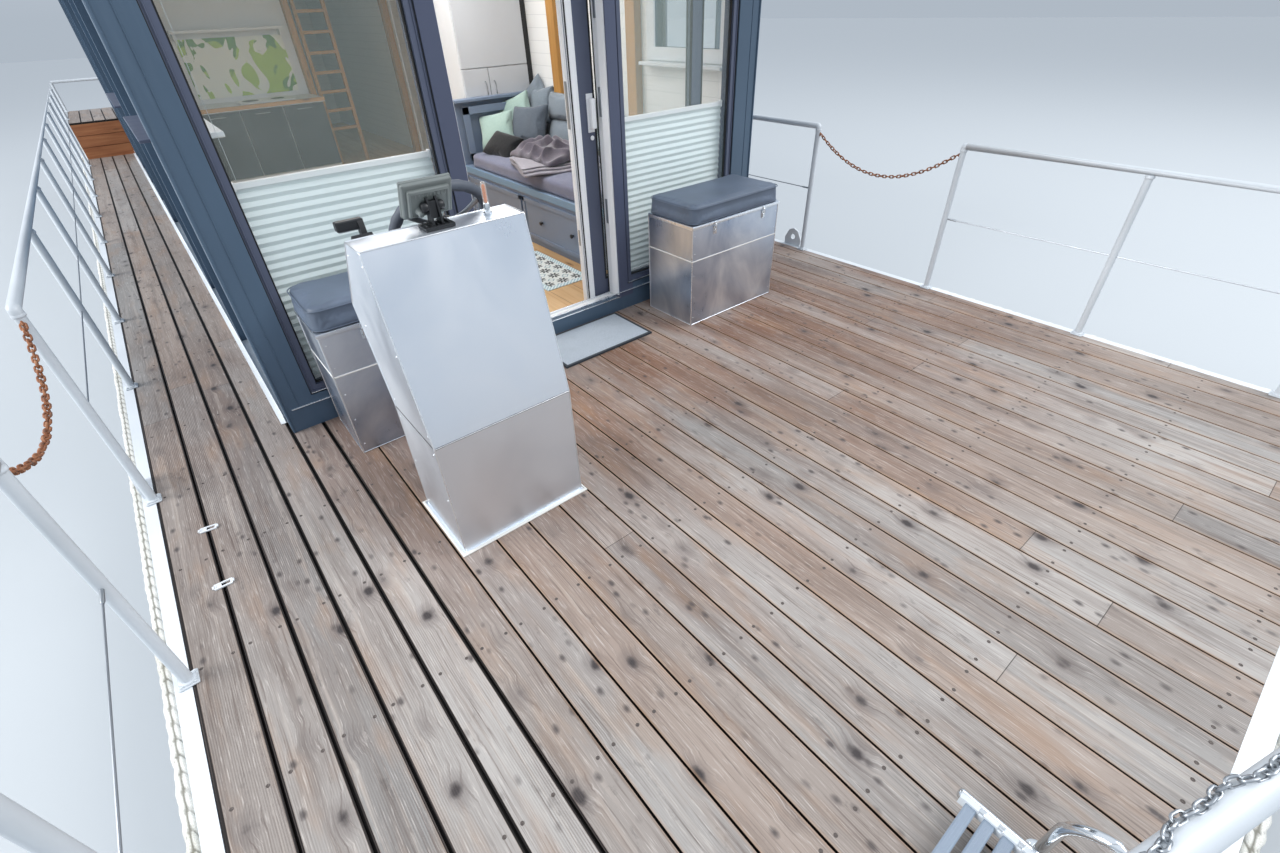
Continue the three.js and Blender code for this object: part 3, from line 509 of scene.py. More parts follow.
def clothPaint(name, first, second, weave, sheen=0.3):
    # crossed threads as two waves, uneven yarn and a soft sheen
    p = Paint(name, Sheen=sheen, Roughness=0.9, Specular=0.2)
    x, y, z = p.split()
    wave = lambda a: p.math("SINE", a * (2 * math.pi / weave))
    threads = wave(x + z) * wave(y + z)
    yarn = p.grain((60, 60, 240), detail=4)
    cloud = p.noise(5.0, detail=5)
    p.put("Base Color", p.mix(p.band((yarn + cloud) * 0.5, 0.3, 0.7), first, second))
    p.bump(threads * 0.3 + yarn, 0.35, 0.0012)
    return p.material


def timberPaint(name, first, second, along=0, gap=None, rough=0.5):
    # sawn timber: rings drawn out along one axis, dark pores and a few knots
    p = Paint(name, Specular=0.35)
    scale = [34.0, 34.0, 34.0]
    scale[along] = 1.6
    grain = p.grain(tuple(scale), detail=6, twist=0.6)
    cloud = p.noise(1.4, detail=3)
    knotScale = [7.0, 7.0, 7.0]
    knotScale[along] = 1.7
    knot = p.cells(1.0, p.stretch(tuple(knotScale), shift=(0.3, 0.6, 0.1)))
    base = p.mix(p.band(grain, 0.32, 0.68), first, second)
    base = p.mix(p.band(cloud, 0.45, 0.75) * 0.35, base, shade(first, 0.55))
    base = p.mix((1.0 - p.band(knot, 0.05, 0.13)) * 0.8, base, "4a2d1c")
    height = grain * 0.6
    if gap:
        axis, pitch = gap
        place = p.split()[axis]
        lane = place / pitch
        joint = p.band(p.math("ABSOLUTE", p.math("FRACT", lane) - 0.5), 0.485, 0.497)
        own = p.chance(p.join(p.math("FLOOR", lane + 0.5), 2.0, 0.0))
        base = p.mix(own * 0.3, base, shade(first, 0.7))
        base = p.mix(joint * 0.75, base, "3a2416")
        height = height - joint
    p.put("Base Color", base)
    p.put("Roughness", grain * 0.2 + rough - 0.1)
    p.bump(height, 0.3, 0.0012)
    return p.material


def ropePaint(name):
    # cream fibres drawn out along the lay; the UV map's v is 1 on a strand's
    # back and 0 in a hollow, and the colour is darker towards the hollows
    p = Paint(name, Roughness=0.95, Sheen=0.2, Specular=0.15)
    fibre = p.grain((240, 420, 420), detail=4)
    dirt = p.noise(3.0, detail=5)
    base = p.mix(p.band(fibre, 0.3, 0.7), "cbc8bd", "f4f4f1")
    base = p.mix(p.band(dirt, 0.5, 0.75) * 0.35, base, "8f8a63")
    hollow = p.split(p.add("ShaderNodeUVMap", uv_map="along"))[1]
    base = p.mix(p.band(hollow, 0.42, 0.05) * 0.75, base, "4d4a38")
    p.put("Base Color", base)
    p.bump(fibre, 0.6, 0.003)
    return p.material


def rustPaint(name):
    # chain: orange-brown rust over dull zinc
    p = Paint(name, Metallic=0.35)
    rust = p.noise(60, detail=5)
    p.put("Base Color", p.ramp(rust, (0.3, "6d5a50"), (0.5, "8e5a3c"), (0.7, "b98a6a")))
    p.put("Roughness", rust * 0.3 + 0.55)
    p.bump(rust, 0.5, 0.0008)
    return p.material


def hullPaint(name):
    # the floats: blue-grey with run-down streaks, a chalky band and green growth at and below the water's edge
    p = Paint(name, Specular=0.4)
    z = p.split()[2]
    cloud = p.noise(0.8, detail=6)
    runs = p.grain((7, 7, 0.5), detail=5)
    base = p.mix(p.band(cloud, 0.3, 0.7), "44566b", "5a6e84")
    base = p.mix(p.band(runs, 0.52, 0.75) * 0.35, base, "8996a0")
    wave = z + p.noise(3.0, detail=3) * 0.05
    chalk = p.band(wave, 0.44, 0.47) * p.band(wave, 0.56, 0.49)
    base = p.mix(chalk * 0.4, base, "a9aca4")
    growth = p.band(wave, 0.475, 0.44)
    slime = p.mix(p.band(p.noise(14, detail=5), 0.35, 0.7), "26301f", "4c5736")
    base = p.mix(growth * 0.9, base, slime)
    p.put("Base Color", base)
    p.put("Roughness", cloud * 0.2 + 0.38)
    p.bump(p.noise(90, detail=2) + p.noise(2.2) * 1.5, 0.2, 0.002)
    return p.material


def glassPaint(name, colour, alpha):
    # a smooth clear coat over a thin tint
    return Paint(name, Base_Color=colour, Alpha=alpha, Roughness=0.03, IOR=1.5, Specular=0.8).material


def blindPaint(name):
    # pleated white cloth with a mint cast
    p = Paint(name, Roughness=0.85, Specular=0.2)
    weave = p.grain((300, 300, 900), detail=2)
    p.put("Base Color", p.mix(p.band(weave, 0.3, 0.7), "e4efee", "f8fdfd"))
    p.bump(weave, 0.15, 0.0006)
    return p.material


def vinylPaint(name, first, second):
    # coated cloth: leather-like pebbles and soft shine
    p = Paint(name, Specular=0.45)
    pebble = p.cells(420.0)
    cloud = p.noise(4.0, detail=4)
    p.put("Base Color", p.mix(p.band(cloud, 0.3, 0.7), first, second))
    p.put("Roughness", cloud * 0.15 + 0.42)
    p.bump(pebble + p.noise(30), 0.12, 0.0006)
    return p.material


def leafPaint(name):
    # a painted panel: broad soft leaves in two greens on white, drawn from warped bands
    p = Paint(name, Roughness=0.45)
    warp = p.noise(2.4, detail=2, twist=0.8)
    leaf = p.grain((1, 3.2, 2.0), detail=1, twist=2.2)
    base = p.mix(p.band(leaf, 0.50, 0.515), "e9ece2", "a9c83f")
    base = p.mix(p.band(warp, 0.52, 0.54) * p.band(leaf, 0.47, 0.48), base, "5f8f2f")
    p.put("Base Color", base)
    return p.material


def matPaint(name, box):
    # ribbed grey pile with a dark rubber border 16 mm wide: the border
    # is where the nearest edge is closer than that
    p = Paint(name, Roughness=0.95, Sheen=0.15, Specular=0.1)
    x, y, _ = p.split()
    edge = nearestEdge(p, x, y, *box)
    pile = p.grain((420, 160, 100), detail=3)
    ribs = p.math("SINE", x * (2 * math.pi / 0.008))
    worn = p.noise(5.0, detail=4)
    cloth = p.mix(p.band(pile, 0.3, 0.7), "8f99a3", "bac2ca")
    cloth = p.mix(p.band(worn, 0.5, 0.75) * 0.25, cloth, "7f858b")
    p.put("Base Color", p.mix(p.band(edge, 0.0175, 0.016), cloth, "33383e"))
    p.bump(pile + ribs * 0.5, 0.5, 0.0015)
    return p.material


def rugPaint(name, low, high):
    # a woven mat of star tiles: eight petals about each tile's middle, with
    # a border band; tiles repeat from the mat's corner
    p = Paint(name, Roughness=0.95, Sheen=0.3, Specular=0.1)
    x, y, _ = p.split()
    tile = 0.125
    u = p.math("FRACT", (x - low[0]) / tile) - 0.5
    v = p.math("FRACT", (y - low[1]) / tile) - 0.5
    r = p.math("SQRT", u * u + v * v)
    a = p.math("ARCTAN2", v, u)
    petal = p.math("ABSOLUTE", p.math("COSINE", a * 4.0))
    reach = 0.10 + petal * 0.30
    star = p.band(reach - r, 0.0, 0.012) * p.band(r, 0.07, 0.085)
    corner = p.math("ABSOLUTE", u) + p.math("ABSOLUTE", v)
    line = p.band(corner, 0.74, 0.76) * p.band(corner, 0.84, 0.82)
    base = p.mix(star, "dfe2df", "34373b")
    base = p.mix(line, base, "7f9aa5")
    side = nearestEdge(p, x, y, low, high)
    wave = p.math("SINE", (x + y) * (2 * math.pi / 0.03))
    rim = p.mix(p.band(wave, -0.1, 0.1), "a9c4cc", "dfe8ea")
    base = p.mix(p.band(side, 0.048, 0.045), base, rim)
    yarn = p.grain((320, 320, 1), detail=3)
    p.put("Base Color", p.mix(0.25, base, p.mix(yarn, "b7bcbc", "ffffff"), "MULTIPLY"))
    p.bump(yarn, 0.4, 0.001)
    return p.material


cabin = {
    "inside": 1.525,     # half width within the wall boards
    "ceiling": 3.371,    # underside of the roof
    "front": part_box("cabin_front")[1][0], "aft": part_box("cabin_wall_aft")[0][0],
}


def insideWall(p, place):
    # 1 where a point is nearer the cabin's middle than the middle of the wall is
    x, y, _ = place
    within = p.band(p.math("ABSOLUTE", y), cabin["inside"] + 0.03, cabin["inside"] + 0.02)
    ahead = p.band(x, cabin["front"] - 0.055, cabin["front"] - 0.065)
    behind = p.band(x, cabin["aft"] + 0.04, cabin["aft"] + 0.05)
    return within * ahead * behind


def insideRoof(p, place):
    # the same, and below the roof's underside
    return insideWall(p, place) * p.band(place[2], cabin["ceiling"] + 0.004, cabin["ceiling"] + 0.002)


finishes = {
    "foreBoards": boardPaint("weatheredBoards", 1.040),
    "sternBoards": boardPaint("sternBoards", 1.540, greyOnly=True),
    "walls": sidedPaint("cabinWalls", ("435567", "546a7f"), ("e6e7e6", "f3f3f1"), insideWall),
    "roof": sidedPaint("cabinRoof", ("46535f", "56636f"), ("e9eae8", "f4f4f2"), insideRoof),
    "windowPaint": plainPaint("windowPaint", "535a6e", 0.42, wear=0.06),
    # the white metal of the rails and gate is set greyer than white paint: painted shade
    "white": plainPaint("shadedWhiteMetal", "ccd2d7", 0.35, wear=0.14),
    "fascia": plainPaint("fasciaPaint", "dfe4e8", 0.45, wear=0.16),
    "hull": hullPaint("floatPaint"),
    "stepWood": timberPaint("stepBoards", "8a5232", "a9714a", along=1, rough=0.6),
    "frameWood": timberPaint("sternFrameBoards", "8f857c", "a89c90", along=0, gap=(2, 0.16), rough=0.8),
    "oak": timberPaint("cabinFloorBoards", "c59b6c", "dbb98c", along=0, gap=(1, 0.19), rough=0.45),
    "postWood": timberPaint("cabinPosts", "a87a3e", "bd8c4c", along=2, rough=0.5),
    "metal": sheetMetalPaint("aluminiumSheet", "e3eaf3"),
    "lockerMetal": sheetMetalPaint("lockerSheet", "9fadc3", 0.20, 0.38),
    "edge": sheetMetalPaint("aluminiumEdges", "eef1f4", 0.18, 0.32),
    "glass": glassPaint("windowGlass", "cfe0da", 0.10),
    "darkGlass": glassPaint("screenGlass", "0c1013", 1.0),
    "pleats": blindPaint("pleatedBlind"),
    "vinyl": vinylPaint("cushionVinyl", "525d6c", "626e80"),
    "greyPlastic": plainPaint("greyPlastic", "747a78", 0.5),
    "black": plainPaint("blackPlastic", "1c1e21", 0.42, wear=0.25),
    "cowl": plainPaint("cowlPaint", "25282c", 0.28, wear=0.2),
    "rubber": plainPaint("blackRubber", "2a2b2d", 0.8, wear=0.2),
    "wheelRim": plainPaint("wheelRim", "565c66", 0.55, wear=0.15, grain=60),
    "chrome": plainPaint("polishedSteel", "dfe3e6", 0.12, wear=0.06, metal=1.0),
    "dullSteel": plainPaint("dullSteel", "a6abb0", 0.38, wear=0.15, metal=0.9),
    "rust": rustPaint("rustyChain"),
    "rope": ropePaint("fenderRope"),
    "sealant": plainPaint("sealantBead", "e3e2dc", 0.6, wear=0.1),
    "mat": matPaint("doorMat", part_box("door_mat")),
    "bed": plainPaint("bedPaint", "75849a", 0.45, wear=0.05),
    # the bed's top rail in a lighter blue than the bed: a painted highlight along its edge
    "bedEdge": plainPaint("bedEdge", "7594b0", 0.4, wear=0.05),
    # a whiter copy of the white board for frames that lie in shade, so they look lit: painted light
    "bright": plainPaint("litWhiteFrames", "f5f6f7", 0.32, wear=0.05),
    # the cupboard's white doors are set greyer than the white board: painted shade
    "cupboard": plainPaint("shadedCupboardDoors", "c3c6ca", 0.35, wear=0.05),
    "board": plainPaint("whiteBoard", "dfe2e5", 0.4, wear=0.04),
    "sheet": clothPaint("mattressCover", "696b80", "7d8196", weave=0.002),
    "throw": clothPaint("darkThrow", "55505a", "716b76", weave=0.004, sheen=0.5),
    "throwLight": clothPaint("greyThrow", "86818c", "a7a3ab", weave=0.004, sheen=0.5),
    "padGrey": clothPaint("greyPad", "6f7983", "84909a", weave=0.0022),
    "padMint": clothPaint("mintPad", "93aca4", "a9bfb7", weave=0.0022),
    "padDark": clothPaint("slatePad", "4f5761", "636c77", weave=0.003),
    "screw": plainPaint("deckScrews", "5c5450", 0.55, metal=0.4),
    "tread": plainPaint("ladderTreads", "8794a3", 0.4, wear=0.2),
    "roofTrim": plainPaint("roofTrim", "4d5a66", 0.5),
    "darkFront": plainPaint("darkFronts", "3d4046", 0.5),
    "leafPanel": leafPaint("leafPanel"),
    "rug": rugPaint("starRug", (bowX - 4.711, 0.180), (bowX - 3.931, 0.560)),
    "amber": plainPaint("amberCore", "c9681c", 0.25, wear=0.1),
    "clear": glassPaint("clearCap", "f4efe6", 0.25),
    "padBlack": clothPaint("blackPad", "17181a", "26272a", weave=0.0022),
    "worktop": timberPaint("worktop", "b98d5c", "cfa877", along=1, rough=0.4),
}

slotFinishes = {
    "white_metal": "white bright sealant fascia", "steel": "dullSteel chrome screw tread", "aluminium": "edge",
    "black_plastic": "black rubber cowl wheelRim darkFront",
    "display_plastic": "greyPlastic darkGlass amber clear",
    "cabin_paint": "walls roofTrim", "window_paint": "windowPaint", "white_board": "board cupboard leafPanel",
    "mattress_cloth": "sheet throw throwLight padGrey padMint padDark padBlack", "cushion_vinyl": "vinyl",
    "bed_paint": "bed bedEdge", "floor_wood": "postWood worktop", "blind_cloth": "pleats", "mat_rubber": "rug",
    "rope": "rope", "chain_iron": "rust",
}
finishSlots = {key: slot for slot, keys in slotFinishes.items() for key in keys.split()}

nodeFinish = {
    "foreBoards": ["deck_fore", "deck_side_starboard", "deck_side_port"],
    "sternBoards": ["stern_deck"],
    "walls": ["cabin_wall_starboard", "cabin_wall_port", "cabin_wall_aft", "cabin_front"],
    "roof": ["cabin_roof"],
    "windowPaint": ["front_casing_starboard", "front_casing_port", "door_leaf"],
    "fascia": ["deck_frame", "deck_frame_aft", "transom_bracket"],
    "white": ["rail_fore_starboard", "rail_fore_port", "rail_aft_starboard", "rail_aft_port", "rail_stern",
              "bow_gate"],
    "hull": ["float_starboard", "float_port"],
    "stepWood": ["stern_step"], "frameWood": ["stern_frame"], "oak": ["cabin_floor"],
    "metal": ["console"],
    "lockerMetal": ["locker_starboard", "locker_port", "locker_lid_starboard", "locker_lid_port"],
    "glass": ["front_glass_starboard", "front_glass_port", "door_glass", "aft_glass", "side_glass_starboard_1",
              "side_glass_starboard_2", "side_glass_port_1", "side_glass_port_2"],
    "pleats": ["blind_starboard", "blind_port"],
    "vinyl": ["locker_cushion_starboard", "locker_cushion_port"],
    "greyPlastic": ["display"], "black": ["throttle", "outboard_swivel", "outboard_leg"],
    "cowl": ["outboard_cowl"],
    "wheelRim": ["helm_wheel"], "rust": ["chain_starboard", "chain_port"], "rope": ["rope_fender"],
    "chrome": ["boarding_ladder"], "dullSteel": ["propeller"], "mat": ["door_mat"], "bed": ["daybed"],
    "sheet": ["mattress"], "board": ["partition", "cabinet", "kitchen_counter"],
}
for key, names in nodeFinish.items():
    for name in names:
        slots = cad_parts[name].data.materials
        slots.clear()
        slots.append(finishes[key])
print("finishes set")


view = {
    "place": (bowX - 0.441, -1.757, 2.780), "lens": 16.26, "width": 36.0,
    "right": (0.6340, 0.7727, -0.0320), "up": (-0.4444, 0.3979, 0.8026), "back": (0.6328, -0.4946, 0.5957),
    "waterline": 0.43, "exposure": -0.1,
}


def setCamera():
    # the camera looks along minus back: its matrix has right, up and back as columns
    data = bpy.data.cameras.new("camera")
    data.lens, data.sensor_width, data.sensor_fit = view["lens"], view["width"], "HORIZONTAL"
    data.clip_start, data.clip_end = 0.05, 200
    made = bpy.data.objects.new("camera", data)
    bpy.context.scene.collection.objects.link(made)
    turn = Matrix([view["right"], view["up"], view["back"]]).transposed()
    made.matrix_world = Matrix.Translation(view["place"]) @ turn.to_4x4()
    bpy.context.scene.camera = made


# name, place, the point it looks at, size, power
lamps = [("key", (12, 9, 13), (2, 0, 1), 9, 1600), ("fill", (1, -15, 9), (1, 0, 1), 9, 2700),
         ("cabinLamp", (2.4, 0.0, 3.3), (2.4, 0, 0), 2.2, 62)]


def setLights():
    # an even pale sky, with a wide soft lamp high on the port bow and
    # another to starboard; plain contrast, no film curve
    bpy.context.scene.view_settings.view_transform = "Standard"
    bpy.context.scene.view_settings.exposure = view["exposure"]
    world = bpy.data.worlds.new("studio")
    bpy.context.scene.world = world
    world.use_nodes = True
    tree = world.node_tree
    ground = tree.nodes["Background"]
    ground.inputs["Strength"].default_value = 1.15
    place = tree.nodes.new("ShaderNodeTexCoord")
    split = tree.nodes.new("ShaderNodeSeparateXYZ")
    ramp = tree.nodes.new("ShaderNodeValToRGB")
    for mark, at, colour in zip(ramp.color_ramp.elements, (0.0, 0.6), ("aab4bf", "eef5ff")):
        mark.position, mark.color = at, tint(colour)
    tree.links.new(place.outputs["Generated"], split.inputs[0])
    tree.links.new(split.outputs["Z"], ramp.inputs[0])
    tree.links.new(ramp.outputs[0], ground.inputs["Color"])
    for name, place, aim, size, power in lamps:
        data = bpy.data.lights.new(name, "AREA")
        data.size, data.energy = size, power
        lamp = bpy.data.objects.new(name, data)
        bpy.context.scene.collection.objects.link(lamp)
        way = np.array(aim, float) - place
        side = np.cross((0, 1, 0) if abs(way[1]) < 0.9 * np.linalg.norm(way) else (1, 0, 0), way)
        side /= np.linalg.norm(side)
        back = -way / np.linalg.norm(way)
        turn = Matrix([side, np.cross(back, side), back]).transposed()
        lamp.matrix_world = Matrix.Translation(place) @ turn.to_4x4()


def layFloor():
    # a wide square at the waterline
    mesh = bpy.data.meshes.new("floor")
    far, z = 60, view["waterline"]
    mesh.from_pydata([(-far, -far, z), (far, -far, z), (far, far, z), (-far, far, z)], [], [(0, 1, 2, 3)])
    floor = bpy.data.objects.new("floor", mesh)
    bpy.context.scene.collection.objects.link(floor)
    mesh.materials.append(Paint("floor", Base_Color="bcc1c4", Roughness=0.9).material)


setCamera()
setLights()
layFloor()
print("stage set")


# rails, chains and the rope fender

rails = {
    "radius": 21, "top": 1970, "wire": 1527, "y": 2290, "bow": 30, "deck": 1040, "sternDeck": 1540, "bend": 70,
    "aft": [-3313, -4580, -5740, -6900, -8060, -9220, -10380, -11540, -12700, -13860, -15080],
    "port": [-2215, -1237, -316], "starboard": [-2196, -1321, -400], "stern": [-1145, 0, 1145],
}


def footPlate(x, y, z):
    # a rounded plate on the deck, a weld ring at the post's foot and a bolt head at each corner
    plate = block((x - 31, y - 30, z), (x + 31, y + 30, z + 8), 4)
    weld = turned([(21, 8), (27.5, 9), (26, 13), (21, 16)], (x, y, z), sides=14)
    bolts = [turned([(6, 8), (6, 11), (4.2, 12.5), (0.5, 12.8)], (x + a, y + b, z), sides=6)
             for a in (-22, 22) for b in (-21, 21)]
    return gather(plate, weld, *bolts)


def makeRail(name, corners, posts, wires):
    # one bent top pipe, a post and foot plate per place, weld rings under the pipe, and wires with end fittings
    r = rails["radius"]
    parts = [pipe(corners, r, rails["bend"], 16)]
    for x, y, z in posts:
        parts += [pipe([(x, y, z + 4), (x, y, rails["top"] - r * 0.6)], r - 2.5, sides=14), footPlate(x, y, z),
                  turned([(r - 3, -34), (r + 1.5, -27), (r + 0.5, -19), (r - 4, -13)], (x, y, rails["top"]),
                         sides=14)]
    if name == "rail_fore_port":
        # the gate's two lugs on the last bow post, each with its pin
        for z in (1330, 1900):
            parts += [block((17, -212, z - 8), (43, -160, z), 3),
                      turned([(7, -10), (7, 28), (5, 30), (0.4, 30)], (30, -200, z), sides=14),
                      turned([(11, -14), (11, -8.2)], (30, -200, z), sides=6)]
    piece(name, parts, "white", smooth=35, replaces=name)
    if wires:
        rope, ends = [], []
        for a, b in wires:
            a, b = np.array(a, float), np.array(b, float)
            rope.append(pipe([a, b], 3.4, sides=8))
            way = (b - a) / np.linalg.norm(b - a)
            ends += [turned([(3.5, 0), (6.2, 2), (6.2, 52), (4.2, 60)], a + way * 20, way, 10),
                     turned([(3.5, 0), (6.2, 2), (6.2, 52), (4.2, 60)], b - way * 20, -way, 10)]
        piece(name + "_wires", [*rope, *ends], "dullSteel", smooth=35)


for side, key in ((-1, "starboard"), (1, "port")):
    y, top, low = side * rails["y"], rails["top"], rails["wire"]
    xs, bow = rails[key], rails["bow"]
    last = {"starboard": -1400, "port": -150}[key]
    cross = {"starboard": [-1400], "port": [1620, 735, -150]}[key]
    makeRail("rail_fore_" + key,
             [(xs[0], y, top - 30), (xs[0], y, top), (bow, y, top), (bow, last, top), (bow, last, top - 30)],
             [(x, y, 1040) for x in xs] + [(bow, y, 1040)] + [(bow, b, 1040) for b in cross],
             [((xs[0], y, low), (bow, y, low))])
    aft = rails["aft"]
    makeRail("rail_aft_" + key,
             [(aft[0], y, top - 30), (aft[0], y, top), (aft[-1], y, top)],
             [(x, y, rails["deck"] if x > -13341 else rails["sternDeck"]) for x in aft],
             [((aft[0], y, low), (aft[-3], y, low))])
makeRail("rail_stern", [(-15080, -2290, 1970), (-15080, 2290, 1970)],
         [(-15080, b, 1540) for b in rails["stern"]], [])

chains = {"wire": 3.6, "long": 17.0, "wide": 8.5, "z": 1920, "end": 24, "drop": {"starboard": 150, "port": 210}}


def linkForm(long, wide, wire, sides):
    # a stadium loop: two half circles of radius wide, long - wide from
    # the middle, joined by straights, in a round wire
    a = np.linspace(-np.pi / 2, np.pi / 2, 6)
    right = np.stack([long - wide + wide * np.cos(a), wide * np.sin(a), 0 * a], 1)
    return carry(np.concatenate([right, -right]), circle(wire, sides), closed=True)


def strung(link, centre, ahead, across):
    # a link at each place, its length along ahead and its width along across
    points, groups = link
    through = np.cross(ahead, across)
    return repeated(centre[:, None] + points[None, :, :1] * ahead[:, None] + points[None, :, 1:2]
                    * across[:, None] + points[None, :, 2:] * through[:, None], groups)


def sampled(at, length, line):
    # the points of a line at given lengths along it
    return np.stack([np.interp(at, length, line[:, k]) for k in range(line.shape[1])], 1)


def runOf(line):
    # length along a line up to each of its points
    return np.concatenate([[0], np.cumsum(np.linalg.norm(np.diff(line, axis=0), axis=1))])


def makeChain(name, side, x0, x1, drop):
    # links stand at equal steps along a parabola, each turned a quarter round the line from the one before
    y, z = side * rails["y"], chains["z"]
    a, b = x0 + chains["end"], x1 - chains["end"]
    t = np.linspace(0, 1, 400)
    line = np.stack([a + (b - a) * t, np.full(400, y), z - drop * 4 * t * (1 - t)], 1)
    length = runOf(line)
    pitch = 2 * (chains["long"] - chains["wire"] * 1.05)
    count = int(length[-1] // pitch)
    at = (np.arange(count) + 0.5) / count * length[-1]
    centre = sampled(at, length, line)
    ahead = sampled(at + 4, length, line) - centre
    ahead /= np.linalg.norm(ahead, axis=1, keepdims=True) + 1e-9
    ahead[-1] = ahead[-2]
    level = np.broadcast_to((0.0, 1.0, 0.0), centre.shape)
    turn = (np.arange(count) % 2 * np.pi / 2 + np.sin(np.arange(count) * 2.3) * 0.25)[:, None]
    across = level * np.cos(turn) + np.cross(ahead, level) * np.sin(turn)
    hooks = [pipe([(end + s * 16, y, z - 14), (end + s * 30, y, z - 4), (end + s * 16, y, z + 8)], 4, 6, 8)
             for end, s in ((x0, 1), (x1, -1))]
    link = linkForm(chains["long"], chains["wide"], chains["wire"], 7)
    piece(name, [strung(link, centre, ahead, across), *hooks], "rust", smooth=60, replaces=name)


makeChain("chain_starboard", -1, rails["aft"][0], rails["starboard"][0], chains["drop"]["starboard"])
makeChain("chain_port", 1, rails["aft"][0], rails["port"][0], chains["drop"]["port"])

fender = {"radius": 21.5, "y": 2354.3, "x": 82.3, "z": 1010, "aft": -15141, "corner": 30, "lay": 62, "step": 10,
          "sides": 16}


def makeFender():
    # a plait: radius = r (0.70 + 0.30 |cos(1.5 t - pi s / lay)|) (1 - 0.22 exp(-(t / 0.3)^2)), t the angle
    # from the top, s the length
    f = fender
    a = np.linspace(-np.pi / 2, 0, 5)
    corner = np.stack([f["x"] - f["corner"] + f["corner"] * np.cos(a),
                       -f["y"] + f["corner"] + f["corner"] * np.sin(a)], 1)
    half = np.concatenate([[(f["aft"], -f["y"])], corner])
    route = np.concatenate([half, half[::-1] * (1, -1)])
    run = runOf(route)
    at = np.linspace(0, run[-1], int(run[-1] // f["step"]))
    line = np.column_stack([sampled(at, run, route), np.full(len(at), float(f["z"]))])
    rng = np.random.default_rng(3)
    slack = np.convolve(rng.normal(size=len(at) + 80), np.hanning(81) / 9, "valid")[:len(at)]
    line[:, 2] += np.clip(slack * 2.2, -4, 1)
    theta = np.arange(f["sides"]) / f["sides"] * 2 * np.pi
    t = np.abs((theta + np.pi / 2) % (2 * np.pi) - np.pi)[None]
    uneven = np.convolve(rng.normal(size=len(at) + 14), np.hanning(15) / 3, "valid")[:len(at)]
    loose = 1 + 0.10 * uneven.clip(-1, 1)
    lobe = np.abs(np.cos(1.5 * t - np.pi * at[:, None] / f["lay"])) ** 0.8
    seam = 1 - 0.22 * np.exp(-(t / 0.3) ** 2)
    radius = f["radius"] * np.minimum((0.70 + 0.30 * lobe) * seam * loose[:, None], 1.12)
    profile = np.stack([radius * np.cos(theta), radius * np.sin(theta)], -1)
    depth = (lobe * (seam - 0.78) / 0.22).clip(0, 1)
    uv = np.stack([np.broadcast_to(at[:, None] / 1000, depth.shape), depth], -1).reshape(-1, 2)
    piece("rope_fender_laid", carry(line, profile), "rope", smooth=70, replaces="rope_fender", uv=uv)


makeFender()
print("rails, chains and fender made")


# screws and slotted keys

decking = {"pitch": 150, "firstGap": -2282, "spread": 45, "z": 1039.9, "sternZ": 1539.9,
           "joists": (-60, -3400, -540), "sideJoists": (-3900, -13300, -900),
           "sternJoists": (-13400, -15140, -560), "keys": ((-2942, -2128, 81), (-2566, -2131, 88)),
           "keyZ": 1043}


def makeDeckFittings():
    # a pair of screws per board at each joist: places are the board middles +- the spread, on the joist lines
    screw = turned([(6.0, 0.0), (6.0, 0.7), (4.6, 1.3), (2.2, 0.2), (0.2, 0.2)], (0, 0, 0), sides=8)
    boardY = decking["firstGap"] + decking["pitch"] * np.arange(30) + 75.0
    rng = np.random.default_rng(8)

    def rows(xs, ys, z):
        # a pair of screws about each board middle, a few millimetres off by chance
        x, y, s = np.meshgrid(xs, ys, (-1, 1), indexing="ij")
        places = np.stack([x + rng.normal(0, 3, x.shape),
                           y + s * decking["spread"] + rng.normal(0, 2.5, x.shape), np.full(x.shape, z)], -1)
        return copies(screw, places.reshape(-1, 3))

    fore = rows(np.arange(*decking["joists"]), boardY, decking["z"])
    sides = rows(np.arange(*decking["sideJoists"]), boardY[np.abs(boardY) > 1700], decking["z"])
    aft = rows(np.arange(*decking["sternJoists"]), boardY, decking["sternZ"])
    piece("deck_screws", [fore, sides, aft], "screw", smooth=25)
    # two slotted keys that hold the first gap open: a rectangular frame with a slot, a short tab at both ends
    key = gather(carry(around(-27, -11.5, 27, 11.5, 0), [(-3.5, -2), (3.5, -2), (3.5, 3), (-3.5, 3)],
                       closed=True), block((-37, -7.5, -2), (-29, 7.5, 5), 1.5),
                 block((29, -7.5, -2), (37, 7.5, 5), 1.5), block((-24, -10, -1), (-6, 10, 2), 1))
    keys = []
    for x, y, deg in decking["keys"]:
        turn = Matrix.Rotation(math.radians(deg), 4, "Z")
        turn.translation = (x, y, decking["keyZ"])
        keys.append(moved(key, turn))
    piece("deck_keys", keys, "board")


makeDeckFittings()


# the cabin's front: seals, door, sill and blinds

front = {
    "left": (-1531, -558, 1210, 3140), "door": (-470, 454, 1135, 3140), "right": (524, 1490, 1210, 3140),
    "casing": 42, "leaf": (275, 1303, 1112, 3170), "leafFace": -3557,
}


def windowLoop(x, y0, y1, z0, z1, profile):
    # a bar round a rectangle in the plane x, its section mitred at the corners
    return carry([(x, y0, z0), (x, y1, z0), (x, y1, z1), (x, y0, z1)], profile, up=(1, 0, 0), closed=True)


